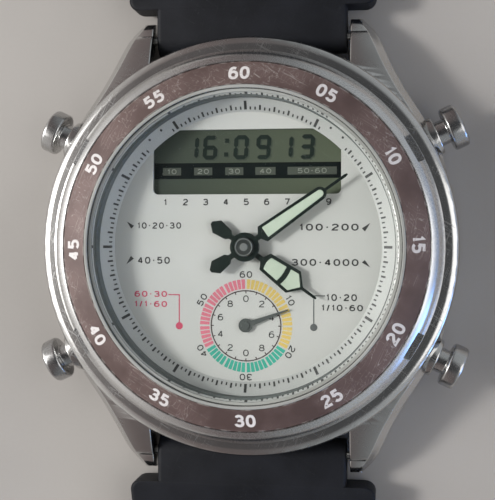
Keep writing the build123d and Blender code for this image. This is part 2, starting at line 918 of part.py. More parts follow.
def hand_cap():
    """Polished cap on the centre pipe, above the minute hand."""
    low = minute_hand_z + hand_thick
    return chamfer(disc(cap_r, low, low + cap_height).edges().group_by(Axis.Z)[-1], cap_edge)


def small_hand():
    """Hand of the small dial."""
    blade = outline_both_sides([(small_hand_half, 0), (small_hand_tip_half, small_hand_reach)])
    plate = extrude(blade + Circle(small_hand_hub_r) - Circle(small_arbor_r), hand_thick)
    cap = extrude(Pos(0, 0, hand_thick) * Circle(small_cap_r), small_cap_height)
    return turned_to(plate + cap, small_angle, small_hand_z, small_dial_y)


def pusher():
    """Mushroom pusher: head, neck, stem with clip groove."""
    half = head_thick / 2
    head = inward(head_r, -half, half)
    head = chamfer(head.edges().group_by(Axis.Z)[-1], head_edge)
    neck_end = half + neck_length
    body = head + inward(neck_pusher_r, half, neck_end) + inward(stem_r, neck_end, stem_end)
    notch = inward(stem_r + overrun, stem_end - clip_from_end - clip_thick, stem_end - clip_from_end)
    return body - (notch - inward(stem_r - clip_groove_depth, 0, stem_end))


def pusher_seal():
    """Rubber ring round the stem, behind the neck, sealing the tube."""
    start = head_thick / 2 + neck_length
    ring = inward(neck_pusher_r + run_gap / 2, start, start + seal_width)
    return ring - inward(stem_r, 0, stem_end)


def pusher_clip():
    """Open clip on the stem inside the case."""
    play = seat_gap / 2
    start = stem_end - clip_from_end - clip_thick + play
    stop = stem_end - clip_from_end - play
    inner = stem_r - clip_groove_depth
    mouth_width = 2 * inner * clip_mouth_share
    mouth = extrude(Pos(clip_r, 0, -stop) * Rectangle(2 * clip_r, mouth_width), stop - start)
    return inward(clip_r, start, stop) - inward(inner, 0, stem_end) - mouth


def spring_bar():
    """Telescopic bar across a lug gap, at twelve o'clock."""
    lie = Plane(origin=(0, bar_y, bar_z), z_dir=(1, 0, 0)).location
    half = half_gap - run_gap
    body = Cylinder(bar_r, 2 * (half - bar_tip_length))
    tips = Cylinder(bar_tip_r, 2 * (half + bar_tip_length))
    return lie * (body + tips)


def strap_side(length, floor, end_r):
    """Side outline of a strap half: nose round the bar, root, thin run and end."""
    half_root = strap_root_thick / 2
    top = floor + strap_thick
    middle = floor + strap_thick / 2
    nose = Pos(bar_y, bar_z) * Circle(nose_r)
    run = make_face(Polyline(
        (bar_y, bar_z - nose_r),
        (bar_y + root_length, floor),
        (bar_y + length, floor),
        (bar_y + length, top),
        (bar_y + root_length, top + (strap_root_thick - strap_thick) / 2),
        (bar_y + shoulder_start, bar_z + half_root),
        (bar_y, bar_z + nose_r),
        close=True))
    side = nose + run
    if end_r:
        side = side + Pos(bar_y + length, middle) * Circle(end_r)
    return side


def strap_plan(length, taper):
    """Outline of a strap half from above: nose between the lugs, shoulders, taper."""
    nose_half = half_gap - strap_gap
    wide = shoulder_width / 2
    narrow = strap_narrow_width / 2
    start = bar_y + shoulder_start
    nose_long = nose_r + shoulder_start + shoulder_corner_r
    nose = Pos(0, bar_y - nose_r + nose_long / 2) * Rectangle(2 * nose_half, nose_long)
    body = make_face(Polyline(
        (-wide, start), (wide, start), (narrow, bar_y + taper), (narrow, bar_y + length),
        (-narrow, bar_y + length), (-narrow, bar_y + taper), close=True))
    corners = body.vertices().group_by(Axis.Y)[0]
    return nose + fillet(corners, shoulder_corner_r)


def bar_bore(y, z):
    """Hole across the strap for a bar."""
    lie = Plane(origin=(0, y, z), z_dir=(1, 0, 0)).location
    return lie * Cylinder(bar_r + run_gap, shoulder_width + overrun)


def strap_upper():
    """Buckle half of the resin strap, towards twelve o'clock."""
    side = crosswise(strap_side(upper_length, upper_floor, strap_end_r), shoulder_width)
    plan = extrude(strap_plan(upper_length + strap_end_r, upper_taper_length), 2 * case_top)
    body = side & plan
    notch_mid = buckle_y + strap_end_r + overrun - tongue_notch_length / 2
    notch_long = tongue_notch_length + strap_end_r + overrun
    notch = slab(2 * tongue_notch_half, notch_long, -overrun, case_top, y=notch_mid)
    return body - notch - bar_bore(bar_y, bar_z) - bar_bore(buckle_y, buckle_z)


def strap_lower():
    """Tail half of the resin strap, towards six o'clock, with its adjusting holes."""
    side = crosswise(strap_side(lower_length, 0, 0), shoulder_width)
    plan = strap_plan(lower_length - lower_tip_length, lower_taper_length)
    tip = Pos(0, bar_y + lower_length - lower_tip_length) * Ellipse(strap_narrow_width / 2, lower_tip_length)
    body = side & extrude(plan + tip, 2 * case_top)
    for step in range(hole_count):
        y = bar_y + hole_first + hole_pitch * step
        body = body - disc(hole_r, -overrun, case_top, y=y)
    return mirrored_y(body - bar_bore(bar_y, bar_z))


def buckle_bar():
    """Bar through the strap's end that carries the frame and the tongue."""
    lie = Plane(origin=(0, buckle_y, buckle_z), z_dir=(1, 0, 0)).location
    body = Cylinder(bar_r, 2 * (frame_inner_half - run_gap))
    return lie * (body + Cylinder(bar_tip_r, 2 * (frame_inner_half + buckle_tip_length - run_gap)))


def buckle_frame():
    """Steel frame with two ears on the bar and a crossbar."""
    outer_half = frame_inner_half + frame_wall
    long = frame_reach + frame_back
    low = buckle_z - frame_thick / 2
    high = buckle_z + frame_thick / 2
    block = slab(2 * outer_half, long, low, high, y=buckle_y + long / 2 - frame_back)
    block = fillet(block.edges().filter_by(Axis.Z).group_by(Axis.Y)[-1], frame_corner_r)
    inner_long = long - frame_bar_width + overrun
    inner_mid = buckle_y - frame_back - overrun + inner_long / 2
    block = block - slab(2 * frame_inner_half, inner_long, low - overrun, high + overrun, y=inner_mid)
    lie = Plane(origin=(0, buckle_y, buckle_z), z_dir=(1, 0, 0)).location
    return block - lie * Cylinder(bar_tip_r + run_gap, 2 * (frame_inner_half + buckle_tip_length))


def buckle_tongue():
    """Steel tongue, its eye on the bar and its finger over the crossbar."""
    eye_r = bar_r + run_gap + tongue_eye_wall
    rest = buckle_z + frame_thick / 2 + seat_gap
    tip_y = buckle_y + frame_reach + tongue_overhang
    bend_y = buckle_y + frame_reach - 2 * frame_bar_width
    finger = make_face(Polyline(
        (buckle_y, buckle_z + eye_r - tongue_thick),
        (bend_y, rest),
        (tip_y, rest),
        (tip_y, rest + tongue_thick / 2),
        (bend_y, rest + tongue_thick),
        (buckle_y, buckle_z + eye_r),
        close=True))
    face = finger + Pos(buckle_y, buckle_z) * Circle(eye_r) - Pos(buckle_y, buckle_z) * Circle(bar_r + run_gap)
    return crosswise(face, tongue_width)


def keeper_loop():
    """Resin loop round the strap that holds the tail down."""
    inner_width = strap_narrow_width + 2 * strap_gap
    inner_low = keeper_wall
    inner_high = upper_floor + 2 * strap_thick + keeper_over_gap
    outer_high = inner_high + keeper_wall
    outer = Rectangle(inner_width + 2 * keeper_wall, outer_high)
    outer = fillet(outer.vertices(), keeper_corner_r)
    inner = Pos(0, (inner_low + inner_high - outer_high) / 2) * Rectangle(inner_width, inner_high - inner_low)
    stand = Plane(origin=(0, bar_y + keeper_place, outer_high / 2), x_dir=(1, 0, 0), z_dir=(0, -1, 0))
    return extrude(stand * (outer - inner), keeper_length / 2, both=True)


def single(shape):
    """One compound of all the solids in a shape or a list of shapes."""
    if isinstance(shape, (list, tuple)):
        solids = [s for piece in shape for s in piece.solids()]
    else:
        solids = shape.solids()
    return Compound(children=solids) if len(solids) > 1 else solids[0]


nodes = {
    "case_middle": case_middle(),
    "bezel": bezel(),
    "bezel_insert": bezel_insert(),
    "crystal": crystal(),
    "crystal_gasket": crystal_gasket(),
    "caseback": caseback(),
    "caseback_gasket": caseback_gasket(),
    "dial": dial(),
    "lcd_film": lcd_plate(film_z, lcd_film_thick, 0),
    "lcd_front_glass": lcd_plate(front_glass_z, lcd_glass_thick, lcd_ledge),
    "lcd_rear_glass": lcd_plate(rear_glass_z, lcd_glass_thick, 0),
    "zebra_strips": zebra_strips(),
    "module_housing": module_housing(),
    "circuit_board": circuit_board(),
    "microchip": microchip(),
    "quartz_can": quartz_can(),
    "battery": battery(),
    "battery_clip": battery_clip(),
    "back_plate": back_plate(),
    "plate_screws": plate_screws(),
    "motor_coils": placed_motors(motor_coil()),
    "motor_irons": placed_motors(motor_iron()),
    "buzzer_disc": buzzer_disc(),
    "buzzer_spring": buzzer_spring(),
    "contact_springs": [place * contact_spring() for place in pusher_places.values()],
    "spring_bars": [spring_bar(), mirrored_y(spring_bar())],
    "cannon_pinion": cannon_pinion(),
    "minute_wheel": minute_wheel(),
    "hour_wheel": hour_wheel(),
    "small_wheel": small_wheel(),
    "minute_hand": minute_hand(),
    "minute_lume": minute_lume(),
    "hour_hand": hour_hand(),
    "hour_lume": hour_lume(),
    "hand_cap": hand_cap(),
    "small_hand": small_hand(),
    "strap_upper": strap_upper(),
    "strap_lower": strap_lower(),
    "buckle_bar": buckle_bar(),
    "buckle_frame": buckle_frame(),
    "buckle_tongue": buckle_tongue(),
    "keeper_loop": keeper_loop(),
}

for name, place in pusher_places.items():
    nodes["pusher_" + name] = place * pusher()
    nodes["pusher_seal_" + name] = place * pusher_seal()
    nodes["pusher_clip_" + name] = place * pusher_clip()

os.makedirs("parts", exist_ok=True)
for name, shape in nodes.items():
    export_step(single(shape), "parts/" + name + ".step")

print("nodes", len(nodes))
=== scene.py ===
from math import cos, hypot, pi, radians, sin, sqrt, tan

import bmesh
import bpy
from mathutils import Matrix, Vector


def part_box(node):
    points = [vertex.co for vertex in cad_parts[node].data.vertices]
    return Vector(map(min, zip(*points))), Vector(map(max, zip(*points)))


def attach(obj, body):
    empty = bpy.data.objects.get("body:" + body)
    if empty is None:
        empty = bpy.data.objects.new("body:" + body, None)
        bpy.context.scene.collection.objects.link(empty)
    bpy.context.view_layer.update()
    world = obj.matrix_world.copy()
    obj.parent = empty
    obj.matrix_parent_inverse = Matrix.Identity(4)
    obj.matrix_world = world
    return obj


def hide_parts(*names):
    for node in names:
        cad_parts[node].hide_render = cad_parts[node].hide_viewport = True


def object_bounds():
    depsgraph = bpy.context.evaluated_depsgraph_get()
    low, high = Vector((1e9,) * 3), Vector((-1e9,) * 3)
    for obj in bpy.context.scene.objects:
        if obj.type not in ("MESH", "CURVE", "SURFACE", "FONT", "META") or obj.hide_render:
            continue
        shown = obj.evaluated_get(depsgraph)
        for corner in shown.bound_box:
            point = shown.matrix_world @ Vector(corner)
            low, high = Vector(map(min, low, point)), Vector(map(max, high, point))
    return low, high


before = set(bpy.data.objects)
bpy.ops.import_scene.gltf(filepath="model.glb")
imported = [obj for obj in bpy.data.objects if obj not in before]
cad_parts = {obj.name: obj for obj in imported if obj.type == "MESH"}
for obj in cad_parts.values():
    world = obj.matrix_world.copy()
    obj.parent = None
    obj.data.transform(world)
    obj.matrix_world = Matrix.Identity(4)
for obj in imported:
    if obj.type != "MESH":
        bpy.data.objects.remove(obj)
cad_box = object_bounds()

# Table top
# The sheet that the watch lies on: one flat piece of pale, warm grey card, nearly plain.
# It takes the watch's shadow and isn't part of it.

mm = 0.001
even = (1.0, 1.0, 1.0)
floor_half = 1.5
floor_drop = 0.02 * mm
floor_tones = ((0.36, 0.342, 0.326), (0.41, 0.39, 0.372))
tone_span = (0.35, 0.65)
gloss_span = (0.3, 0.7)
scratch_scale = 2600.0
scratch_dulling = 0.18
scratch_turns = (radians(24), radians(-58))
scratch_stretch = (1.0, 0.035, 1.0)
scratch_level = 0.56
patch_scale = 260.0
patch_span = (0.42, 0.62)


def add_node(tree, kind, **settings):
    """New shader node with its settings."""
    node = tree.nodes.new(kind)
    for setting, value in settings.items():
        setattr(node, setting, value)
    return node


def feed(tree, inlet, value):
    """Gives an input a link, a colour or a number."""
    if isinstance(value, bpy.types.NodeSocket):
        tree.links.new(value, inlet)
    elif isinstance(value, tuple):
        inlet.default_value = (*value, 1.0)
    else:
        inlet.default_value = value


def reckon(tree, operation, *values):
    """Result of a sum on numbers and sockets."""
    node = add_node(tree, "ShaderNodeMath", operation=operation)
    for inlet, value in zip(node.inputs, values):
        feed(tree, inlet, value)
    return node.outputs["Value"]


def ranged(tree, value, low, high, start=0.0, stop=1.0):
    """A value moved from the span start..stop to the span low..high."""
    node = add_node(tree, "ShaderNodeMapRange")
    for inlet, part in (("From Min", start), ("From Max", stop), ("To Min", low), ("To Max", high),
                        ("Value", value)):
        feed(tree, node.inputs[inlet], part)
    return node.outputs["Result"]


def mixed(tree, mask, low, high):
    """Colour that goes from low to high with a mask; each is a colour or a socket."""
    mix = add_node(tree, "ShaderNodeMix", data_type="RGBA")
    for inlet, part in (("Factor", mask), (6, low), (7, high)):
        feed(tree, mix.inputs[inlet], part)
    return mix.outputs[2]


def mask_group(name, numbers, vectors=()):
    """Node group with number and vector inputs and one mask output, and its two end nodes."""
    group = bpy.data.node_groups.new(name, "ShaderNodeTree")
    for socket in numbers:
        group.interface.new_socket(socket, in_out="INPUT", socket_type="NodeSocketFloat")
    for socket in vectors:
        group.interface.new_socket(socket, in_out="INPUT", socket_type="NodeSocketVector")
    group.interface.new_socket("Mask", in_out="OUTPUT", socket_type="NodeSocketFloat")
    return group, add_node(group, "NodeGroupInput"), add_node(group, "NodeGroupOutput")


def noise_on(group, place, scale, detail=2.0):
    """Noise at a place, for one of the shared effects."""
    noise = add_node(group, "ShaderNodeTexNoise")
    noise.inputs["Detail"].default_value = detail
    feed(group, noise.inputs["Vector"], place)
    feed(group, noise.inputs["Scale"], scale)
    return noise.outputs["Fac"]


def grain_group():
    """Fine noise, stretched along the way a surface was brushed or moulded."""
    group, inlet, outlet = mask_group("grain", ["Scale"], ["Stretch"])
    place = add_node(group, "ShaderNodeTexCoord")
    stretch = add_node(group, "ShaderNodeVectorMath", operation="MULTIPLY")
    feed(group, stretch.inputs[0], place.outputs["Object"])
    feed(group, stretch.inputs[1], inlet.outputs["Stretch"])
    fine = noise_on(group, stretch.outputs["Vector"], inlet.outputs["Scale"], 3.0)
    feed(group, outlet.inputs["Mask"], fine)
    return group


def scratch_group():
    """Long thin handling scratches in two directions, thicker in some places than in others."""
    group, inlet, outlet = mask_group("scratches", ["Scale", "Width"])
    place = add_node(group, "ShaderNodeTexCoord")
    lines = []
    for turn in scratch_turns:
        rotate = add_node(group, "ShaderNodeVectorRotate", rotation_type="Z_AXIS")
        rotate.inputs["Angle"].default_value = turn
        squeeze = add_node(group, "ShaderNodeVectorMath", operation="MULTIPLY")
        squeeze.inputs[1].default_value = scratch_stretch
        feed(group, rotate.inputs["Vector"], place.outputs["Object"])
        feed(group, squeeze.inputs[0], rotate.outputs["Vector"])
        long_noise = noise_on(group, squeeze.outputs["Vector"], inlet.outputs["Scale"], 1.0)
        away = reckon(group, "ABSOLUTE", reckon(group, "SUBTRACT", long_noise, scratch_level))
        lines.append(ranged(group, away, 1.0, 0.0, 0.0, inlet.outputs["Width"]))
    patches = ranged(group, noise_on(group, place.outputs["Object"], patch_scale), 0.0, 1.0, *patch_span)
    both = reckon(group, "MAXIMUM", *lines)
    feed(group, outlet.inputs["Mask"], reckon(group, "MULTIPLY", patches, both))
    return group


grain = grain_group()
scratches = scratch_group()


def place_group(tree, group, **values):
    """A shared effect placed in a material with its own values; gives its mask."""
    node = add_node(tree, "ShaderNodeGroup", node_tree=group)
    for socket, value in values.items():
        node.inputs[socket].default_value = value
    return node.outputs["Mask"]


def blank_material(name):
    """New material, its node tree and its shader."""
    material = bpy.data.materials.new(name)
    material.use_nodes = True
    return material, material.node_tree, material.node_tree.nodes["Principled BSDF"]


def finish(name, tones, gloss, size, stretch=even, relief=0.002 * mm, metallic=0.0, coat=0.0,
           drift=140.0, worn=None, shine=0.5):
    """Material with two drifting tones, a grain that shows in its gloss and relief, and wear.

    tones: darker and lighter colour. gloss: lowest and highest roughness. size: the grain's size
    in metres. worn: width of the scratches and the tone that they bare.
    """
    material, tree, shader = blank_material(name)
    shader.inputs["Metallic"].default_value = metallic
    shader.inputs["Coat Weight"].default_value = coat
    shader.inputs["Specular IOR Level"].default_value = shine
    fine = place_group(tree, grain, Scale=1.0 / size, Stretch=stretch)
    broad = place_group(tree, grain, Scale=drift, Stretch=even)
    colour = mixed(tree, ranged(tree, broad, 0.0, 1.0, *tone_span), *tones)
    rough = ranged(tree, fine, *gloss, *gloss_span)
    if worn:
        lines = place_group(tree, scratches, Scale=scratch_scale, Width=worn[0])
        colour = mixed(tree, lines, colour, worn[1])
        rough = reckon(tree, "MULTIPLY_ADD", lines, scratch_dulling, rough)
    bump = add_node(tree, "ShaderNodeBump")
    bump.inputs["Distance"].default_value = relief
    feed(tree, bump.inputs["Height"], fine)
    feed(tree, shader.inputs["Base Color"], colour)
    feed(tree, shader.inputs["Roughness"], rough)
    feed(tree, shader.inputs["Normal"], bump.outputs["Normal"])
    return material


def linked(name, mesh):
    """Object of a mesh, in the scene."""
    made = bpy.data.objects.new(name, mesh)
    bpy.context.scene.collection.objects.link(made)
    return made


floor_z = cad_box[0][2] - floor_drop
floor_mesh = bpy.data.meshes.new("table_top")
floor_mesh.from_pydata([(-floor_half, -floor_half, floor_z), (floor_half, -floor_half, floor_z),
                        (floor_half, floor_half, floor_z), (-floor_half, floor_half, floor_z)],
                       [], [(0, 1, 2, 3)])
floor_mesh.materials.append(finish("table_card", floor_tones, (0.75, 0.9), 0.4 * mm, relief=0.004 * mm,
                                   drift=30.0))
floor = linked("table_top", floor_mesh)

# Studio light and camera
# A small lamp in front of a wide soft one on the left, a weaker one and a low, bluish one on the
# right, in a room that is pale to both sides and dim overhead. The camera is nearly over the dial.

lamps = (("broad_lamp", (-0.52, 0.03, 0.36), 0.45, 1.7, (1.0, 0.99, 0.97), 180),
         ("sky_lamp", (0.50, -0.27, 0.09), 0.26, 0.045, (0.18, 0.42, 1.0), 30),
         ("window_lamp", (-0.443, 0.035, 0.39), 0.09, 2.0, (1.0, 0.985, 0.96), 180),
         ("fill_lamp", (0.487, -0.075, 0.50), 0.5, 1.15, (1.0, 0.98, 0.96), 180))
room_tones = ((0.0, (0.85, 0.83, 0.80)), (0.16, (0.60, 0.58, 0.56)), (0.34, (0.19, 0.155, 0.15)),
              (0.47, (0.14, 0.125, 0.125)), (0.54, (0.22, 0.23, 0.235)), (0.68, (0.40, 0.42, 0.43)),
              (0.88, (0.46, 0.48, 0.50)), (1.0, (0.34, 0.42, 0.58)))
overhead = (0.045, 0.047, 0.05)
overhead_span = (0.84, 0.97)
backdrop = (0.42, 0.40, 0.385)
camera_place = Vector((13.84, 1.32, 106.12)) * mm
camera_aim = Vector((0.09, -0.31, 7.1)) * mm
camera_lens = 72.65
camera_nearest = 10 * mm


def facing(place, aim):
    """Stand of a lamp or camera at a place, looking at a point, with twelve o'clock upwards."""
    back = (place - aim).normalized()
    right = Vector((0.0, 1.0, 0.0)).cross(back).normalized()
    return Matrix.Translation(place) @ Matrix((right, back.cross(right), back)).transposed().to_4x4()


def lamp(name, place, size, power, colour, spread):
    """Square soft lamp that faces the watch, with the spread of its beam in degrees."""
    light = bpy.data.lights.new(name, "AREA")
    light.size = size
    light.energy = power
    light.color = colour
    light.spread = radians(spread)
    linked(name, light).matrix_world = facing(Vector(place), Vector((0.0, 0.0, 0.0)))


def coordinates(tree, kind):
    """The three numbers of a place or a direction, by their axes."""
    place = add_node(tree, "ShaderNodeTexCoord")
    parts = add_node(tree, "ShaderNodeSeparateXYZ")
    feed(tree, parts.inputs["Vector"], place.outputs[kind])
    return parts.outputs


def room():
    """Surroundings whose tone changes from one side to the other."""
    world = bpy.data.worlds.new("room")
    world.use_nodes = True
    tree = world.node_tree
    outward = coordinates(tree, "Generated")
    ramp = add_node(tree, "ShaderNodeValToRGB")
    stops = ramp.color_ramp.elements
    stops[0].color = (*room_tones[0][1], 1.0)
    stops[1].color = (*room_tones[-1][1], 1.0)
    for share, tone in room_tones[1:-1]:
        stops.new(share).color = (*tone, 1.0)
    feed(tree, ramp.inputs["Fac"], ranged(tree, outward["X"], 0.0, 1.0, -1.0, 1.0))
    above = ranged(tree, outward["Z"], 0.0, 1.0, *overhead_span)
    tone = mixed(tree, above, ramp.outputs["Color"], overhead)
    path = add_node(tree, "ShaderNodeLightPath")
    seen = mixed(tree, path.outputs["Is Camera Ray"], tone, backdrop)
    feed(tree, tree.nodes["Background"].inputs["Color"], seen)
    return world


for entry in lamps:
    lamp(*entry)
scene = bpy.context.scene
scene.world = room()
scene.view_settings.view_transform = "Standard"
camera = linked("camera", bpy.data.cameras.new("camera"))
camera.data.lens = camera_lens
camera.data.clip_start = camera_nearest
camera.matrix_world = facing(camera_place, camera_aim)
scene.camera = camera

# Movement
# The sealed module under the dial: moulded black housing, green board, chip, crystal can, cell,
# copper-wound stepping motors and brass wheels, held together by a steel plate and three screws.

inner_steel = finish("inner_steel", ((0.50, 0.50, 0.49), (0.62, 0.62, 0.60)), (0.22, 0.38), 0.05 * mm,
                     stretch=(0.06, 1.0, 1.0), metallic=1.0)
cell_steel = finish("cell_steel", ((0.56, 0.56, 0.55), (0.68, 0.67, 0.65)), (0.16, 0.3), 0.04 * mm,
                    metallic=1.0, worn=(0.02, (0.42, 0.42, 0.41)))
housing_plastic = finish("housing_plastic", ((0.030, 0.030, 0.032), (0.045, 0.045, 0.048)),
                         (0.45, 0.62), 0.08 * mm, relief=0.004 * mm)
chip_resin = finish("chip_resin", ((0.018, 0.018, 0.020), (0.030, 0.030, 0.032)), (0.5, 0.68),
                    0.03 * mm, relief=0.003 * mm)
board_lacquer = finish("board_lacquer", ((0.012, 0.10, 0.035), (0.020, 0.15, 0.055)), (0.25, 0.4),
                       0.12 * mm, stretch=(1.0, 0.2, 1.0), coat=0.4)
copper_winding = finish("copper_winding", ((0.42, 0.13, 0.05), (0.62, 0.22, 0.09)), (0.25, 0.42),
                        0.05 * mm, stretch=(1.0, 0.04, 0.04), relief=0.02 * mm, metallic=1.0,
                        coat=0.5)
turned_brass = finish("turned_brass", ((0.58, 0.40, 0.15), (0.74, 0.54, 0.23)), (0.18, 0.32),
                      0.03 * mm, metallic=1.0)
seal_rubber = finish("seal_rubber", ((0.012, 0.012, 0.013), (0.022, 0.022, 0.023)), (0.5, 0.7),
                     0.06 * mm, relief=0.004 * mm)


def dress(material, *nodes):
    """Gives a carried-over CAD piece its material."""
    for node in nodes:
        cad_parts[node].material_slots[0].material = material


dress(inner_steel, "back_plate", "plate_screws", "battery_clip", "buzzer_spring", "contact_springs",
      "motor_irons")
dress(cell_steel, "battery", "quartz_can")
dress(housing_plastic, "module_housing")
dress(chip_resin, "microchip")
dress(board_lacquer, "circuit_board")
dress(copper_winding, "motor_coils")
dress(turned_brass, "buzzer_disc", "cannon_pinion", "minute_wheel", "hour_wheel", "small_wheel")
dress(seal_rubber, "zebra_strips")

# Dial
# A thin brass plate, painted matt silver-white, with a window for the display. All its marks are
# pad printed: the small dial's colour ring, numbers and thin leader lines.

dial_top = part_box("dial")[1][2]
print_thick = 0.012 * mm
small_y = -7.79 * mm
small_ring_r = 3.47 * mm
small_ring_line = 0.12 * mm
small_tick = (0.26 * mm, 0.10 * mm)
colour_ring = (3.65 * mm, 4.60 * mm)
colour_bar_degrees = 4.5
colour_bar_pitch = 5.75
small_numbers_r = 2.68 * mm
outer_numbers_r = 5.07 * mm
row_y = 4.44 * mm
row_pitch = 2.03 * mm
row_shift = 0.03 * mm
number_height = 0.66 * mm
leader_x = 6.70 * mm
leader_reach = 7.80 * mm
leader_top = -4.77 * mm
leader_dot_y = -7.87 * mm
leader_line = 0.11 * mm
leader_dot_r = 0.36 * mm
leader_dot_thick = 1.5 * print_thick
squareness = 0.12
ink_shade = 0.82
ink_black = (0.035, 0.037, 0.036)
labels_black = (("10·20·30", -10.95, 1.80, -6.50, 2.44), ("40·50", -10.95, -1.70, -7.65, -1.00),
                ("100·200", 5.28, 1.60, 11.05, 2.28), ("300·4000", 4.50, -1.84, 11.05, -1.16))
labels_grey = (("10·20", 7.92, -5.26, 10.90, -4.58), ("1/10·60", 7.45, -6.24, 11.48, -5.62))
labels_red = (("60·30", -11.27, -5.01, -7.94, -4.41), ("1/1·60", -11.27, -6.01, -7.94, -5.41))
pointers = (((-12.04, 2.53), (-11.60, 1.81), (-11.30, 2.10)), ((-12.12, -1.77), (-11.33, -1.20),
            (-11.63, -0.91)), ((12.18, 2.35), (11.36, 1.83), (11.66, 1.52)),
            ((12.18, -1.98), (11.66, -1.25), (11.36, -1.49)))


def on_circle(radius, clock, x=0.0, y=0.0):
    """Point at a clock angle in degrees round a centre."""
    return (x + radius * sin(radians(clock)), y + radius * cos(radians(clock)))


def prism(outline, low, high):
    """Flat piece of an outline between two heights, as points and faces."""
    count = len(outline)
    points = [(x, y, low) for x, y in outline] + [(x, y, high) for x, y in outline]
    faces = [tuple(range(count - 1, -1, -1)), tuple(range(count, 2 * count))]
    for i in range(count):
        j = (i + 1) % count
        faces.append((i, j, count + j, count + i))
    return points, faces


def box_outline(left, low, right, high):
    """Rectangular outline."""
    return [(left, low), (right, low), (right, high), (left, high)]


def disc_outline(radius, x, y, steps=24):
    """Round outline."""
    return [on_circle(radius, -360 * i / steps, x, y) for i in range(steps)]


def sector(inner, outer, start, stop, x=0.0, y=0.0):
    """Outline of a stretch of a ring between two clock angles."""
    steps = max(2, int(abs(stop - start) / 5) + 1)
    turns = [start + (stop - start) * i / steps for i in range(steps + 1)]
    out = [on_circle(outer, t, x, y) for t in turns]
    back = [on_circle(inner, t, x, y) for t in reversed(turns)]
    return list(reversed(out + back))


def spoke(clock, outer, length, width, x=0.0, y=0.0):
    """Outline of a printed bar that points to the centre."""
    along = Vector(on_circle(1.0, clock))
    side = Vector((along.y, -along.x)) * width / 2
    far = Vector((x, y)) + along * outer
    near = far - along * length
    return [tuple(far - side), tuple(near - side), tuple(near + side), tuple(far + side)]


def bow(x, y, wide, high, start, stop, steps=18):
    """Squarish arc between two clock angles, in shares of a figure's box."""
    line = []
    for i in range(steps + 1):
        turn = radians(start + (stop - start) * i / steps)
        line.append((x + wide * sin(turn) * abs(sin(turn)) ** -squareness if sin(turn) else x,
                     y + high * cos(turn) * abs(cos(turn)) ** -squareness if cos(turn) else y))
    return line


def ribbon(line, thick):
    """Stroke along a line of points, one print thick; a line that ends where it starts is closed."""
    closed = (Vector(line[0]) - Vector(line[-1])).length < 1e-7
    spots = [Vector(spot) for spot in (line[:-1] if closed else line)]
    count = len(spots)
    points = []
    for low in (0.0, print_thick):
        for i, spot in enumerate(spots):
            come = (spot - spots[i - 1]).normalized() if closed or i else Vector((0.0, 0.0))
            leave = (spots[(i + 1) % count] - spot).normalized() if closed or i < count - 1 else come
            along = (come + leave).normalized()
            side = Vector((-along.y, along.x)) * thick / 2 / max(0.6, along.dot(leave))
            points += [(*(spot + side), low), (*(spot - side), low)]
    top = 2 * count
    faces = []
    for i in range(count if closed else count - 1):
        a = 2 * i
        b = 2 * ((i + 1) % count)
        faces += [(a, a + 1, b + 1, b), (top + a, top + b, top + b + 1, top + a + 1),
                  (a, b, top + b, top + a), (a + 1, top + a + 1, top + b + 1, b + 1)]
    if not closed:
        faces += [(0, 1, top + 1, top), (top - 2, 2 * top - 2, 2 * top - 1, top - 1)]
    return points, faces


six_stem = [(0.0, 0.32), (0.02, 0.55), (0.12, 0.80), (0.34, 0.96), (0.60, 1.0), (0.92, 0.94)]
figure_strokes = {
    "0": (1.0, [bow(0.5, 0.5, 0.5, 0.5, 0, 360, 28)]),
    "1": (0.55, [[(0.05, 0.76), (0.72, 1.0), (0.72, 0.0)]]),
    "2": (1.0, [bow(0.5, 0.72, 0.46, 0.28, -78, 112) + [(0.46, 0.40), (0.05, 0.10), (0.0, 0.0),
                                                        (1.0, 0.0)]]),
    "3": (1.0, [bow(0.48, 0.755, 0.44, 0.245, -75, 180) + bow(0.5, 0.265, 0.5, 0.265, 0, 255)]),
    "4": (1.0, [[(0.72, 0.0), (0.72, 1.0)], [(0.72, 1.0), (0.0, 0.28)], [(0.0, 0.28), (1.0, 0.28)]]),
    "5": (1.0, [[(0.92, 1.0), (0.14, 1.0), (0.07, 0.50)], bow(0.48, 0.31, 0.52, 0.31, -55, 240)]),
    "6": (1.0, [bow(0.5, 0.31, 0.5, 0.31, 0, 360, 24), six_stem]),
    "7": (1.0, [[(0.0, 1.0), (1.0, 1.0), (0.36, 0.0)]]),
    "8": (1.0, [bow(0.5, 0.76, 0.42, 0.24, 0, 360, 24), bow(0.5, 0.27, 0.5, 0.27, 0, 360, 24)]),
    "9": (1.0, [bow(0.5, 0.69, 0.5, 0.31, 0, 360, 24), [(1 - x, 1 - y) for x, y in six_stem]]),
    "/": (0.55, [[(0.0, -0.06), (1.0, 1.06)]]),
    "·": (0.52, [[(0.1, 0.5), (0.9, 0.5)]]),
}


def merged(parts):
    """One part of several."""
    points = []
    faces = []
    for part_points, part_faces in parts:
        start = len(points)
        points.extend(part_points)
        faces.extend(tuple(start + i for i in face) for face in part_faces)
    return points, faces


def moved(part, rule):
    """A part with each of its points moved by a rule."""
    points, faces = part
    return [rule(*point) for point in points], faces


def set_at(part, x, y, z, clock=0.0):
    """A part turned to a clock angle and moved to a place."""
    c = cos(radians(clock))
    s = sin(radians(clock))
    return moved(part, lambda px, py, pz: (x + px * c + py * s, y - px * s + py * c, z + pz))


def figures(text, height, weight=0.15, squeeze=0.80, space=0.26):
    """Drawn figures about their own middle; the other sizes are shares of the height."""
    thick = weight * height
    strokes = []
    left = 0.0
    for mark in text:
        share, lines = figure_strokes[mark]
        wide = share * squeeze * height
        for line in lines:
            drawn = [(left + thick / 2 + x * (wide - thick),
                      thick / 2 + y * (height - thick) - height / 2) for x, y in line]
            strokes.append(ribbon(drawn, thick))
        left += wide + space * height
    middle = (left - space * height) / 2
    return moved(merged(strokes), lambda x, y, z: (x - middle, y, z))


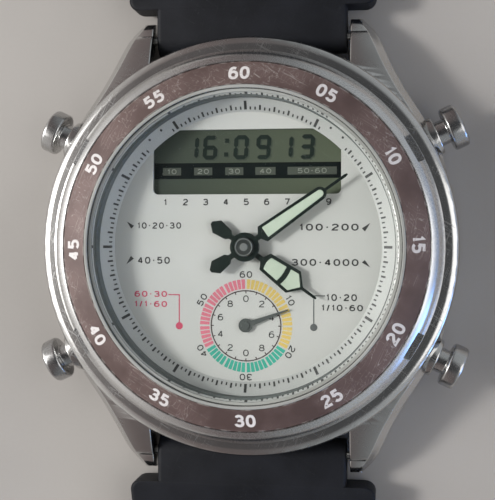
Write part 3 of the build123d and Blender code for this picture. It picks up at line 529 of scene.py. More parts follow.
def label(text, left, low, right, high):
    """Figures that fill a box on the dial, given in millimetres."""
    drawn = figures(text, (high - low) * mm, weight=0.19)
    stretch = (right - left) * mm / (2 * max(point[0] for point in drawn[0]))
    wide = moved(drawn, lambda x, y, z: (x * stretch, y, z))
    return set_at(wide, (left + right) / 2 * mm, (low + high) / 2 * mm, dial_top)


def smoothed(mesh, sharp):
    """The mesh shaded smooth but for its sharp edges."""
    mesh.shade_smooth()
    mesh.set_sharp_from_angle(angle=sharp)
    return mesh


def joined(name, parts, sharp=radians(35)):
    """One mesh of several parts."""
    points, faces = merged(parts)
    mesh = bpy.data.meshes.new(name)
    mesh.from_pydata(points, [], faces)
    bm = bmesh.new()
    bm.from_mesh(mesh)
    bmesh.ops.recalc_face_normals(bm, faces=bm.faces)
    bm.to_mesh(mesh)
    bm.free()
    return smoothed(mesh, sharp)


def add_piece(name, mesh, material, body, slot, *nodes):
    """A piece of the watch: its mesh, finish, body and the CAD nodes that it stands for; slot is not
    used.
    """
    mesh.materials.clear()
    mesh.materials.append(material)
    made = linked(name, mesh)
    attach(made, body)
    if nodes:
        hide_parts(*nodes)
    return made


def printed(name, parts, colour):
    """Marks of one ink on the dial."""
    darker = tuple(ink_shade * c for c in colour)
    ink = finish(name + "_ink", (darker, colour), (0.45, 0.6), 0.05 * mm)
    add_piece(name, joined(name, parts), ink, "case", "dial_paint")


def on_dial(outline):
    """A flat mark of an outline on the dial."""
    return prism(outline, dial_top, dial_top + print_thick)


def small_dial_lines():
    """The small dial's circle and its inward ticks."""
    circle = [on_circle(small_ring_r, 6 * step, 0.0, small_y) for step in range(61)]
    lines = [set_at(ribbon(circle, small_ring_line), 0.0, 0.0, dial_top)]
    for tick in range(20):
        lines.append(on_dial(spoke(18 * tick, small_ring_r, *small_tick, y=small_y)))
    return lines


def small_dial_numbers():
    """Numbers inside the small dial and round its colour ring, and the row under the window."""
    numbers = []
    for step in range(10):
        number = figures(str(2 * step % 10), number_height, weight=0.15, squeeze=0.84)
        place = on_circle(small_numbers_r, 36 * step, 0.0, small_y)
        numbers.append(set_at(number, *place, dial_top))
    for step, text in enumerate(("60", "10", "20", "30", "40", "50")):
        number = figures(text, number_height, weight=0.17, squeeze=0.84, space=0.22)
        place = on_circle(outer_numbers_r, 60 * step, 0.0, small_y)
        numbers.append(set_at(number, *place, dial_top, 60 * step))
    for step in range(9):
        number = figures(str(step + 1), number_height, weight=0.19, squeeze=0.80)
        numbers.append(set_at(number, (step - 4) * row_pitch + row_shift, row_y, dial_top))
    return numbers


def pusher_marks():
    """Numbers beside the pushers, each with a small pointer outwards, and those by the right leader."""
    marks = [label(*entry) for entry in labels_black + labels_grey]
    for corners in pointers:
        marks.append(on_dial([(x * mm, y * mm) for x, y in corners]))
    return marks


def leader(side):
    """Thin line from a label down to the dot beside the small dial."""
    half = leader_line / 2
    near = side * (leader_x - half)
    across = box_outline(near, leader_top - half, side * leader_reach, leader_top + half)
    down = box_outline(near, leader_dot_y, side * (leader_x + half), leader_top - half)
    dot = disc_outline(leader_dot_r, side * leader_x, leader_dot_y)
    return [on_dial(across), on_dial(down), prism(dot, dial_top, dial_top + leader_dot_thick)]


def colour_bars(first):
    """Twenty bars of one colour of the small dial's ring, in groups of five."""
    bars = []
    half = colour_bar_degrees / 2
    for step in range(20):
        group, place = divmod(step, 5)
        middle = first + 30 * group + 15 + (place - 2) * colour_bar_pitch
        bars.append(on_dial(sector(*colour_ring, middle - half, middle + half, 0.0, small_y)))
    return bars


dial_paint = finish("dial_paint", ((0.56, 0.575, 0.55), (0.61, 0.62, 0.595)), (0.42, 0.55), 0.05 * mm,
                    relief=0.001 * mm, drift=90.0)
dress(dial_paint, "dial")
printed("small_dial_circle", small_dial_lines(), (0.055, 0.035, 0.035))
printed("dial_numbers", small_dial_numbers(), ink_black)
printed("pusher_numbers", pusher_marks(), ink_black)
printed("leader_grey", leader(1), (0.12, 0.13, 0.13))
printed("leader_red", leader(-1) + [label(*entry) for entry in labels_red], (0.62, 0.08, 0.15))
printed("ring_yellow", colour_bars(0), (0.75, 0.56, 0.16))
printed("ring_green", colour_bars(120), (0.05, 0.46, 0.34))
printed("ring_red", colour_bars(240), (0.74, 0.20, 0.27))

# Minute track ring
# Sloped ring of white plastic that lies on the dial's edge under the crystal's seat. Its minute
# track is printed, with dots where the window's corners come near.

ring_foot = (13.32 * mm, 7.18 * mm)
ring_head = (14.58 * mm, 7.95 * mm)
ring_back_r = 14.64 * mm
track_r = 13.50 * mm
hour_bar = (0.80 * mm, 0.27 * mm)
minute_bar = (0.46 * mm, 0.19 * mm)
split_bar = (0.28 * mm, 0.15 * mm)
dot_r = 0.12 * mm
dot_place_r = 14.25 * mm
dots_by_window = (6, 7, 53, 54)
bare_by_window = ((5.4, 7.6), (52.4, 54.6))


def lathe(profile, steps, closed=True):
    """Turned solid from (radius, height) points, as points and faces."""
    points = []
    faces = []
    count = len(profile)
    for radius, height in profile:
        for step in range(steps):
            turn = 2 * pi * step / steps
            points.append((radius * cos(turn), radius * sin(turn), height))
    spans = count if closed else count - 1
    for i in range(spans):
        j = (i + 1) % count
        for step in range(steps):
            after = (step + 1) % steps
            faces.append((i * steps + step, i * steps + after, j * steps + after, j * steps + step))
    if not closed:
        faces.append(tuple(range(steps)))
        faces.append(tuple(range((count - 1) * steps, count * steps)))
    return points, faces


def on_slope(part):
    """Flat marks laid on the sloped ring."""
    foot_r, foot = ring_foot
    rise = (ring_head[1] - foot) / (ring_head[0] - foot_r)
    return moved(part, lambda x, y, z: (x, y, z + foot + (hypot(x, y) - foot_r) * rise))


def track_marks():
    """The minute track, with dots where the window's corners leave no room."""
    marks = []
    for third in range(180):
        minute = third / 3
        clock = 2 * third
        if third % 3 == 0 and int(minute) in dots_by_window:
            marks.append(disc_outline(dot_r, *on_circle(dot_place_r, clock), steps=10))
        elif not any(start < minute < stop for start, stop in bare_by_window):
            length, width = hour_bar if third % 15 == 0 else minute_bar if third % 3 == 0 else split_bar
            marks.append(spoke(clock, track_r + length, length, width))
    return [on_slope(prism(mark, 0.0, print_thick)) for mark in marks]


def add_turned(name, profile, material, body, slot, *nodes, steps=160, closed=True, sharp=radians(35)):
    """A turned piece of the watch, from its profile."""
    mesh = joined(name, [lathe(profile, steps, closed)], sharp)
    add_piece(name, mesh, material, body, slot, *nodes)


track_profile = [(ring_foot[0], dial_top), (ring_back_r, dial_top), (ring_back_r, ring_head[1]),
                 ring_head, ring_foot]
ring_white = finish("track_ring_white", ((0.45, 0.465, 0.45), (0.49, 0.505, 0.49)), (0.45, 0.58),
                    0.05 * mm, relief=0.001 * mm)
add_turned("minute_track_ring", track_profile, ring_white, "case", "dial_paint", sharp=radians(20))
printed("minute_track", track_marks(), ink_black)

# Display
# A liquid-crystal cell of two glasses under a grey-green film. Its dark segments show the hour,
# minute and day of the month; a printed black band below them holds five small grey fields.

film_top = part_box("lcd_film")[1][2]
segment_thick = 0.006 * mm
figure_low = 8.66 * mm
figure_height = 2.40 * mm
figure_width = 1.48 * mm
segment_bar = 0.42 * mm
segment_point = 0.35
segment_gap = 0.03 * mm
figure_lean = radians(4)
figure_places = (("1", -5.62), ("6", -3.72), ("0", -0.62), ("9", 1.60), ("1", 3.80), ("3", 5.90))
colon_x = -2.08 * mm
colon_shares = (0.21, 0.78)
band = (6.76 * mm, 8.34 * mm)
field_spans = ((-8.45, -6.61), (-5.28, -3.45), (-2.14, -0.33), (0.88, 2.88), (4.07, 8.9))
field_heights = (7.12 * mm, 7.88 * mm)
# Painted shade: the film's colour darkens from its right end to its left end.
film_painted_shade = (0.045, 0.058, 0.046)
film_right = (0.100, 0.120, 0.080)
field_numbers = ("10", "20", "30", "40", "50·60")
field_number_height = 0.50 * mm
film_half = 9.6 * mm
film_shade_half = 9.0 * mm
shadow_step = (0.13 * mm, -0.11 * mm)
segments_lit = {"0": "abcdef", "1": "bc", "3": "abcdg", "6": "acdefg", "9": "abcdfg"}


def segment(start, stop):
    """Six-sided bar of a figure between two points."""
    start = Vector(start)
    stop = Vector(stop)
    along = (stop - start).normalized() * segment_bar / 2
    side = Vector((-along.y, along.x))
    start = start - along * segment_point + along.normalized() * segment_gap
    stop = stop + along * segment_point - along.normalized() * segment_gap
    return [start, start + along + side, stop - along + side, stop, stop - along - side,
            start + along - side]


def lit_figure(text, middle):
    """The lit bars of one seven-bar figure, leaning a little to the right."""
    left = -figure_width / 2 + segment_bar / 2
    right = -left
    low = segment_bar / 2
    mid = figure_height / 2
    top = figure_height - segment_bar / 2
    bars = {"a": ((left, top), (right, top)), "b": ((right, top), (right, mid)),
            "c": ((right, mid), (right, low)), "d": ((left, low), (right, low)),
            "e": ((left, mid), (left, low)), "f": ((left, top), (left, mid)),
            "g": ((left, mid), (right, mid))}
    made = []
    for bar in segments_lit[text]:
        made.append([(middle + p.x + tan(figure_lean) * p.y, figure_low + p.y)
                     for p in segment(*bars[bar])])
    return made


def lit_outlines():
    """Every lit segment of the display, with the colon's two dots."""
    made = []
    for text, middle in figure_places:
        made.extend(lit_figure(text, middle * mm))
    half = segment_bar / 2
    for share in colon_shares:
        x = colon_x + tan(figure_lean) * share * figure_height
        y = figure_low + share * figure_height
        made.append(box_outline(x - half, y - half, x + half, y + half))
    return made


def display_film():
    """Grey-green film, darker towards the left with painted shade."""
    film = finish("display_film", ((0.080, 0.098, 0.074), (0.100, 0.120, 0.088)), (0.3, 0.42),
                  0.06 * mm, relief=0.0006 * mm, shine=0.25)
    tree = film.node_tree
    across = ranged(tree, coordinates(tree, "Object")["X"], 0.0, 1.0, -film_shade_half, film_shade_half)
    feed(tree, tree.nodes["Principled BSDF"].inputs["Base Color"],
         mixed(tree, across, film_painted_shade, film_right))
    return film


def on_film(name, outlines, layers, material):
    """Flat marks on the display's film, some layers thick."""
    marks = [prism(outline, film_top, film_top + layers * segment_thick) for outline in outlines]
    add_piece(name, joined(name, marks), material, "case", "display_film")


dress(display_film(), "lcd_film")
dress(finish("display_glass", ((0.20, 0.24, 0.20), (0.24, 0.28, 0.24)), (0.08, 0.14), 0.1 * mm,
             relief=0.0005 * mm), "lcd_front_glass", "lcd_rear_glass")
crystals_dark = finish("display_segments", ((0.009, 0.016, 0.013), (0.014, 0.023, 0.019)), (0.45, 0.6),
                       0.05 * mm, shine=0.1)
band_black = finish("display_band", ((0.0025, 0.005, 0.005), (0.004, 0.0075, 0.007)), (0.45, 0.6),
                    0.05 * mm, shine=0.08)
crystals_shadow = finish("display_shadow", ((0.052, 0.066, 0.050), (0.062, 0.077, 0.058)),
                         (0.45, 0.6), 0.05 * mm, shine=0.1)
field_grey = finish("display_fields", ((0.062, 0.072, 0.060), (0.080, 0.092, 0.074)), (0.45, 0.6),
                    0.05 * mm, shine=0.15)
field_light = finish("display_numbers", ((0.17, 0.19, 0.16), (0.22, 0.24, 0.20)), (0.5, 0.65),
                     0.05 * mm)
lit = lit_outlines()
# Painted shadow: a darker copy of each lit segment, set off down and to the right on the film.
cast = [[(x + shadow_step[0], y + shadow_step[1]) for x, y in outline] for outline in lit]
on_film("display_shadow", cast, 1, crystals_shadow)
on_film("display_band", [box_outline(-film_half, band[0], film_half, band[1])], 1, band_black)
on_film("display_segments", lit, 2, crystals_dark)
on_film("display_fields", [box_outline(left * mm, field_heights[0], right * mm, field_heights[1])
                           for left, right in field_spans], 2, field_grey)
field_figures = []
for text, (left, right) in zip(field_numbers, field_spans):
    number = figures(text, field_number_height, weight=0.17, squeeze=1.0, space=0.3)
    field_figures.append(set_at(number, (left + right) / 2 * mm, sum(field_heights) / 2,
                                film_top + 2 * segment_thick))
add_piece("display_numbers", joined("display_numbers", field_figures), field_light, "case",
          "display_film")

# Hands
# Stamped from thin brass sheet and lacquered in a black that looks green in the light. The two
# large ones are framed round pale green luminous paint, and all are pressed on their pipes.

hand_break = 0.035 * mm
lume_break = 0.05 * mm
small_break = 0.02 * mm
merge_reach = 0.0005 * mm
flat_turn = radians(0.4)
crease = radians(28)
cap_r = 0.95 * mm
axis_r = 0.02 * mm
cap_steps = ((1.0, 0.30), (0.98, 0.26), (0.93, 0.26), (0.90, 0.08), (0.87, 0.01), (0.83, 0.0),
             (0.77, 0.05), (0.60, 0.06), (0.30, 0.03))
cap_sink = 0.02 * mm
rim_steps = ((0.79, 0.05), (0.81, 0.0), (0.88, 0.0), (0.91, 0.06))
boss_steps = ((0.42, 0.05), (0.38, 0.015))
boss_rise = 0.05 * mm


def shaped(held):
    """Mesh of an object with its modifiers applied; the object goes."""
    made = bpy.data.meshes.new_from_object(
        held.evaluated_get(bpy.context.evaluated_depsgraph_get()))
    bpy.data.objects.remove(held)
    return made


def worked(mesh, width, segments=2):
    """The mesh with its edges broken by a small round."""
    held = linked("worked", mesh)
    bevel = held.modifiers.new("broken_edges", "BEVEL")
    bevel.width = width
    bevel.segments = segments
    bevel.limit_method = "ANGLE"
    bevel.angle_limit = crease
    bevel.harden_normals = True
    return shaped(held)


def eased(node, width, segments):
    """Copy of a CAD piece's mesh, cleaned, with its edges broken."""
    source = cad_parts[node]
    bm = bmesh.new()
    bm.from_mesh(source.data)
    bm.transform(source.matrix_world)
    bmesh.ops.remove_doubles(bm, verts=bm.verts, dist=merge_reach)
    bmesh.ops.dissolve_limit(bm, angle_limit=flat_turn, verts=bm.verts, edges=bm.edges)
    mesh = bpy.data.meshes.new(node)
    bm.to_mesh(mesh)
    bm.free()
    return worked(smoothed(mesh, crease), width, segments)


def rounded(corners, radii, steps=4):
    """Closed outline whose corners are arcs, one radius for each corner."""
    outline = []
    count = len(corners)
    for i in range(count):
        corner = Vector(corners[i])
        before = Vector(corners[i - 1]) - corner
        after = Vector(corners[(i + 1) % count]) - corner
        spread = before.angle(after)
        reach = min(radii[i] / tan(spread / 2), 0.45 * before.length, 0.45 * after.length)
        if reach < 1e-9:
            outline.extend([tuple(corner)] * (steps + 1))
            continue
        start = corner + before.normalized() * reach
        stop = corner + after.normalized() * reach
        for step in range(steps + 1):
            t = step / steps
            outline.append(tuple(start * (1 - t) ** 2 + corner * (2 * t * (1 - t)) + stop * t ** 2))
    return outline


lacquer = finish("hand_lacquer", ((0.011, 0.018, 0.015), (0.018, 0.027, 0.023)), (0.14, 0.24),
                 0.05 * mm, relief=0.0008 * mm, coat=0.4)
lume = finish("lume_paint", ((0.49, 0.585, 0.465), (0.555, 0.65, 0.525)), (0.6, 0.8), 0.07 * mm,
              relief=0.008 * mm, drift=700.0)
cap_black = finish("cap_black", ((0.045, 0.052, 0.049), (0.07, 0.078, 0.074)), (0.26, 0.36),
                   0.03 * mm, relief=0.0005 * mm, metallic=0.4)
small_grey = finish("small_hand_grey", ((0.075, 0.086, 0.082), (0.105, 0.118, 0.113)), (0.25, 0.35),
                    0.05 * mm, relief=0.0008 * mm)
# Painted highlight: a lighter grey for the cap's rim ring and middle boss.
cap_painted_highlight = finish("cap_painted_highlight", ((0.15, 0.162, 0.156), (0.24, 0.252, 0.246)), (0.3, 0.45), 0.3 * mm)


def add_eased(name, node, width, material, body, slot, segments=2):
    """A CAD piece with its edges broken, in place of the plain one."""
    add_piece(name, eased(node, width, segments), material, body, slot, node)


add_eased("minute_hand_framed", "minute_hand", hand_break, lacquer, "minute_works", "hand_black")
add_eased("minute_hand_lume", "minute_lume", lume_break, lume, "minute_works", "lume")
add_eased("hour_hand_framed", "hour_hand", hand_break, lacquer, "hour_works", "hand_black")
add_eased("hour_hand_lume", "hour_lume", lume_break, lume, "hour_works", "lume")
add_eased("small_dial_hand", "small_hand", small_break, small_grey, "small_works", "hand_black")
cap_low, cap_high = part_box("hand_cap")
cap_top = cap_high[2]


def cap_points(steps):
    """Points of the cap's profile, from shares of its radius and drops from its top."""
    return [(share * cap_r, cap_top - drop * mm) for share, drop in steps]


cap_profile = [(axis_r, cap_low[2]), (cap_r, cap_low[2]), *cap_points(cap_steps),
               (axis_r, cap_top - cap_sink)]
boss_profile = [(axis_r, cap_top - boss_rise), *cap_points(boss_steps), (axis_r, cap_top)]
add_turned("centre_cap", cap_profile, cap_black, "minute_works", "hand_black", "hand_cap", steps=64,
           closed=False)
# A lighter ring and middle spot on the dark cap, as painted highlights.
add_turned("centre_cap_rim_highlight", cap_points(rim_steps), cap_painted_highlight, "minute_works", "hand_black", steps=64)
add_turned("centre_cap_boss_highlight", boss_profile, cap_painted_highlight, "minute_works", "hand_black", steps=64,
           closed=False)

# Case middle
# Turned and milled steel drum with four curved lugs, each with a polished top and a bevelled flank.
# Its neck holds the crystal, and four collars ring the pusher holes in their spot faces.

case_low, case_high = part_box("case_middle")
case_foot = case_low[2]
neck_top = case_high[2]
case_r = 20.75 * mm
case_top = 8.0 * mm
shoulder_r = 0.85 * mm
chamber_r = 15.45 * mm
neck_r = 16.2 * mm
gasket_r = 15.2 * mm
shelf_r = 14.65 * mm
shelf_top = 9.2 * mm
lug_inner = 10.1 * mm
lug_span = case_r - lug_inner
lug_reach = 23.1 * mm
bar_y = 21.4 * mm
bar_z = 2.6 * mm
lug_tip_r = 1.7 * mm
lug_crest = 7.4 * mm
lug_bevel = 0.85 * mm
lug_round = 0.22 * mm
lug_start = 0.2
lug_straight = 0.72
lug_easing = 0.8 * mm
lug_least = 0.3 * mm
tip_least = 0.1 * mm
relief_y = 19.1 * mm
relief_top = 5.2 * mm
far_out = 30 * mm
fit = 0.01 * mm
foot_round = 0.5 * mm
neck_round = 0.1 * mm
case_break = 0.07 * mm
flank_shares = ((0.935, 0.229), (0.831, 0.420), (0.657, 0.565), (0.507, 0.673), (0.376, 0.788),
                (0.296, 0.879), (0.221, 0.959), (0.085, 1.000))
crest_shares = ((0.20, 1.00), (0.40, 0.985), (0.61, 0.93), (0.78, 0.815), (0.88, 0.70), (0.96, 0.553))
pusher_turn = radians(30.2)
pusher_lean = radians(25)
pusher_ring = 23.55 * mm
pusher_z = 4.4 * mm
pusher_sides = {"two": (1, 1), "four": (1, -1), "eight": (-1, -1), "ten": (-1, 1)}
collar_r = 1.95 * mm
collar_bore = 1.3 * mm
collar_root = 0.4 * mm
collar_rounds = (0.0, 0.0, 0.16 * mm, 0.08 * mm)
spot_r = 2.3 * mm
spot_axis_r = 0.05 * mm
spot_far = 3 * mm
flank_from_head = 1.85 * mm
collar_rise = 0.5 * mm


def between(pairs, at):
    """Value at a place along a list of (place, value), read off straight lines."""
    pairs = sorted(pairs)
    if at <= pairs[0][0]:
        return pairs[0][1]
    for (x0, y0), (x1, y1) in zip(pairs, pairs[1:]):
        if at <= x1:
            return y0 + (y1 - y0) * (at - x0) / (x1 - x0)
    return pairs[-1][1]


def softened(pairs, at, reach):
    """The same, averaged over a short reach so that the line bends smoothly."""
    spots = [at + reach * step / 4 for step in range(-4, 5)]
    return sum(between(pairs, spot) for spot in spots) / len(spots)


def loft(sections):
    """Skin over closed sections with equal counts of points, capped at both ends."""
    count = len(sections[0])
    points = [tuple(p) for section in sections for p in section]
    faces = []
    for i in range(len(sections) - 1):
        for k in range(count):
            after = (k + 1) % count
            faces.append((i * count + k, i * count + after, (i + 1) * count + after,
                          (i + 1) * count + k))
    faces.append(tuple(range(count)))
    faces.append(tuple(range((len(sections) - 1) * count, len(sections) * count)))
    return points, faces


def lug():
    """The lug between twelve and three, from inside the drum to the round tip."""
    flank = [(lug_reach * y, lug_inner + lug_span * x) for x, y in flank_shares]
    crest = [(lug_reach * y, lug_crest * z) for y, z in crest_shares]
    stations = [lug_reach * (lug_start + lug_straight * step / 26) for step in range(27)]
    last = stations[-1]
    stations += [last + (lug_reach - last) * sin(pi / 2 * step / 8) for step in range(1, 9)]
    sections = []
    for y in stations:
        y = min(y, lug_reach - fit)
        out = max(softened(flank, y, lug_easing), lug_inner + lug_least)
        high = softened(crest, y, lug_easing)
        low = case_foot
        if y > bar_y:
            half = sqrt(max(lug_tip_r ** 2 - (y - bar_y) ** 2, tip_least ** 2))
            high = min(high, bar_z + half)
            low = bar_z - half
        bevel = min(lug_bevel, 0.4 * (out - lug_inner), 0.4 * (high - low))
        corners = [(lug_inner, low), (out, low), (out, high - 1.5 * bevel),
                   (out - bevel, high - 0.12 * bevel), (lug_inner, high)]
        outline = rounded(corners, [lug_round] * 4 + [0.8 * lug_round])
        sections.append([(x, y, z) for x, z in outline])
    return loft(sections)


def flipped(part, side, level):
    """A part mirrored to another quarter of the watch."""
    return moved(part, lambda x, y, z: (side * x, level * y, z))


def pusher_frame(side, level):
    """Place of a pusher: its own +Z points outwards from the middle of its head."""
    outward = Vector((side * cos(pusher_lean), level * sin(pusher_lean), 0.0))
    across = Vector((0.0, 0.0, 1.0))
    turned = Matrix((across, outward.cross(across), outward)).transposed().to_4x4()
    middle = Vector((side * pusher_ring * cos(pusher_turn), level * pusher_ring * sin(pusher_turn),
                     pusher_z))
    return Matrix.Translation(middle) @ turned


def placed(part, matrix):
    """A part carried to its place."""
    return moved(part, lambda *point: tuple(matrix @ Vector(point)))


def combined(mesh, other, operation):
    """The first mesh united with the second, or cut by it."""
    first = linked("first", mesh)
    second = linked("second", other)
    step = first.modifiers.new("step", "BOOLEAN")
    step.operation = operation
    step.object = second
    step.solver = "EXACT"
    made = shaped(first)
    bpy.data.objects.remove(second)
    return smoothed(made, radians(30))


def brick(left, near, low, right, far, high):
    """Rectangular block, as points and faces."""
    return prism(box_outline(left, near, right, far), low, high)


def case_mesh():
    """Drum with rounded shoulder, lugs, strap reliefs, spot faces and collars."""
    outer = rounded([(axis_r, case_foot), (case_r, case_foot), (case_r, case_top), (neck_r, case_top),
                     (neck_r, neck_top), (axis_r, neck_top)],
                    [0.0, foot_round, shoulder_r, neck_round, neck_round, 0.0])
    hollow = [(axis_r, -mm), (chamber_r, -mm), (chamber_r, dial_top + fit),
              (shelf_r, dial_top + fit), (shelf_r, shelf_top), (gasket_r, shelf_top),
              (gasket_r, neck_top + mm), (axis_r, neck_top + mm)]
    body = joined("case", [lathe(outer[4:-4], steps=160, closed=False)])
    lugs = [flipped(lug(), side, level) for side, level in pusher_sides.values()]
    body = combined(body, joined("lugs", lugs), "UNION")
    reliefs = [brick(-lug_inner, min(level * relief_y, level * far_out), -mm, lug_inner,
                     max(level * relief_y, level * far_out), relief_top) for level in (1, -1)]
    spots = []
    collars = []
    for side, level in pusher_sides.values():
        stand = pusher_frame(side, level)
        sunk = -(flank_from_head + collar_rise)
        spot = [(spot_axis_r, spot_far), (spot_r, spot_far), (spot_r, sunk), (spot_axis_r, sunk)]
        spots.append(placed(lathe(spot, steps=64, closed=False), stand))
        profile = rounded(box_outline(collar_bore, sunk - collar_root, collar_r, -flank_from_head),
                          collar_rounds)
        collars.append(placed(lathe(profile, steps=64), stand))
    body = combined(body, joined("cuts", reliefs + spots), "DIFFERENCE")
    chamber = joined("hollow", [lathe(hollow, steps=160, closed=False)])
    body = combined(body, chamber, "DIFFERENCE")
    body = worked(body, case_break)
    bm = bmesh.new()
    bm.from_mesh(body)
    bm.from_mesh(joined("collars", collars))
    bm.to_mesh(body)
    bm.free()
    return smoothed(body, radians(40))


case_steel = finish("case_steel", ((0.56, 0.555, 0.545), (0.66, 0.655, 0.645)), (0.14, 0.24),
                    0.05 * mm, relief=0.0008 * mm, metallic=1.0, worn=(0.02, (0.42, 0.42, 0.42)))
add_piece("case_drum_and_lugs", case_mesh(), case_steel, "case", "case_steel", "case_middle")

# Crystal and its ring
# Flat mineral glass with a small bevel, pressed into the case neck with a thin, milky plastic ring
# round its edge. A thin dark ring lines the seat below it: painted shade on the wall there.

crystal_low, crystal_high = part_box("crystal")
crystal_r = crystal_high[0]
crystal_bevel = 0.25 * mm
glass_r = crystal_r - 0.02 * mm
glass_low = crystal_low[2] + 0.04 * mm
bevel_low = crystal_high[2] - crystal_bevel
seat_z = crystal_low[2] + fit
seal_gap = 0.04 * mm
shade_ring_r = shelf_r - 0.05 * mm
glass_tint = (0.97, 0.985, 0.98)
scratch_blur = 0.22
ground_blur = 0.7
ground_span = (0.05, 0.3)


def clear_glass():
    """Glass that lets the light through to the dial; its upright edge is ground."""
    material, tree, shader = blank_material("crystal_glass")
    feed(tree, shader.inputs["Base Color"], glass_tint)
    shader.inputs["Transmission Weight"].default_value = 1.0
    shader.inputs["IOR"].default_value = 1.5
    marks = place_group(tree, scratches, Scale=700.0, Width=0.006)
    upright = reckon(tree, "ABSOLUTE", coordinates(tree, "Normal")["Z"])
    feed(tree, shader.inputs["Roughness"],
         reckon(tree, "MAXIMUM", ranged(tree, marks, 0.0, scratch_blur),
                ranged(tree, upright, ground_blur, 0.0, *ground_span)))
    through = add_node(tree, "ShaderNodeBsdfTransparent")
    path = add_node(tree, "ShaderNodeLightPath")
    soft = reckon(tree, "MAXIMUM", path.outputs["Is Shadow Ray"], path.outputs["Is Diffuse Ray"])
    mix = add_node(tree, "ShaderNodeMixShader")
    for inlet, value in zip(mix.inputs, (soft, shader.outputs["BSDF"], through.outputs["BSDF"])):
        feed(tree, inlet, value)
    feed(tree, tree.nodes["Material Output"].inputs["Surface"], mix.outputs["Shader"])
    return material


glass_profile = [(axis_r / 2, glass_low), (glass_r, glass_low), (glass_r, bevel_low),
                 (glass_r - crystal_bevel, crystal_high[2]), (axis_r / 2, crystal_high[2])]
add_turned("crystal_disc", glass_profile, clear_glass(), "case", "crystal_glass", "crystal",
           closed=False)
ring_pale = finish("ring_pale", ((0.30, 0.31, 0.29), (0.38, 0.39, 0.37)), (0.35, 0.5), 0.05 * mm)
seal_profile = box_outline(glass_r + seal_gap, seat_z, gasket_r - fit, bevel_low)
shade_ring_profile = [(shade_ring_r, ring_head[1] + fit), (shelf_r - fit, ring_head[1] + fit),
                  (shelf_r - fit, seat_z), (glass_r, seat_z), (glass_r, glass_low - fit),
                  (shade_ring_r, glass_low - fit)]
# Painted shade: a dark ring laid on the seat's wall under the crystal, where that wall lies in shade.
painted_shade_ring = finish("painted_shade_ring", ((0.085, 0.10, 0.098), (0.12, 0.137, 0.134)), (0.45, 0.6),
                     0.05 * mm)
add_turned("crystal_shade_ring", shade_ring_profile, painted_shade_ring, "case", "gasket_rubber")
add_turned("crystal_seal", seal_profile, ring_pale, "case", "gasket_rubber", "crystal_gasket")
dress(seal_rubber, "caseback_gasket")

# Bezel
# Polished steel ring pressed over the case neck: a foot, a steep slope and a thin lip at the
# crystal. Four flats are milled into the slope, in line with the pushers.

bezel_low, bezel_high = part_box("bezel")
bezel_foot = bezel_low[2]
bezel_top = bezel_high[2]
bezel_r = 19.3 * mm
rim_top = 8.35 * mm
bend = (18.75 * mm, 9.45 * mm)
brow = (17.88 * mm, 10.0 * mm)
seat_low = 9.47 * mm
lip = (15.25 * mm, 15.57 * mm)
lip_seat = 10.32 * mm
flat_inner = 18.5 * mm
flat_half = 1.4 * mm
flat_low = 8.42 * mm
flat_clocks = (60, 120, 240, 300)
bore_r = neck_r + 0.03 * mm
bore_top = neck_top + 0.03 * mm
bezel_rounds = (0.02, 0.10, 0.18, 1.5, 0.16, 0.02, 0.02, 0.08, 0.08, 0.02, 0.02)
bezel_break = 0.05 * mm


def bezel_mesh():
    """Turned ring with softened corners and its four flats."""
    corners = [(bore_r, bezel_foot), (bezel_r, bezel_foot), (bezel_r, rim_top), bend, brow,
               (brow[0], seat_low), (lip[1], lip_seat), (lip[1], bezel_top), (lip[0], bezel_top),
               (lip[0], bore_top), (bore_r, bore_top)]
    outline = rounded(corners, [radius * mm for radius in bezel_rounds])
    ring = joined("bezel", [lathe(outline, steps=180)])
    cuts = []
    for clock in flat_clocks:
        block = brick(-flat_half, flat_inner, flat_low, flat_half, bezel_r + mm, bezel_top + mm)
        cuts.append(set_at(block, 0.0, 0.0, 0.0, clock))
    return worked(combined(ring, joined("flats", cuts), "DIFFERENCE"), bezel_break)


def with_matt_lip(mesh):
    """Marks the lip's faces for the second material."""
    for face in mesh.polygons:
        middle = face.center
        inside = hypot(middle.x, middle.y) < lip[1] + fit
        face.material_index = int(middle.z > lip_seat and inside)


bright_steel = finish("bright_steel", ((0.62, 0.62, 0.62), (0.74, 0.735, 0.73)), (0.20, 0.32),
                      0.05 * mm, relief=0.0006 * mm, metallic=1.0, worn=(0.012, (0.5, 0.5, 0.5)))
matt_lip = finish("matt_lip", ((0.31, 0.315, 0.30), (0.385, 0.39, 0.375)), (0.5, 0.62), 0.05 * mm,
                  relief=0.0006 * mm, metallic=0.2)
bezel_ring = add_piece("bezel_ring", bezel_mesh(), bright_steel, "case", "polished_steel", "bezel")
bezel_ring.data.materials.append(matt_lip)
with_matt_lip(bezel_ring.data)

# Numeral ring
# Dished aluminium ring, anodised dark reddish brown and bonded into the bezel. Its colour is
# scratched and rubbed pale along both edges; the numerals are printed in white.

insert_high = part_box("bezel_insert")[1]
insert_outer = insert_high[0]
insert_inner = 15.6 * mm
insert_outer_z = 9.9 * mm
insert_inner_z = insert_high[2]
insert_thick = 0.4 * mm
numeral_r = 16.72 * mm
numeral_height = 1.38 * mm
numeral_turn = -1.0
numeral_ring_rounds = (0.06 * mm, 0.05 * mm, 0.02 * mm, 0.02 * mm)
rub_outer = 0.12 * mm
rub_inner = 0.10 * mm
chip_scale = 900.0
chip_span = (0.5, 0.6)
anodised = ((0.093, 0.061, 0.057), (0.147, 0.101, 0.095))
bared = (0.40, 0.36, 0.34)


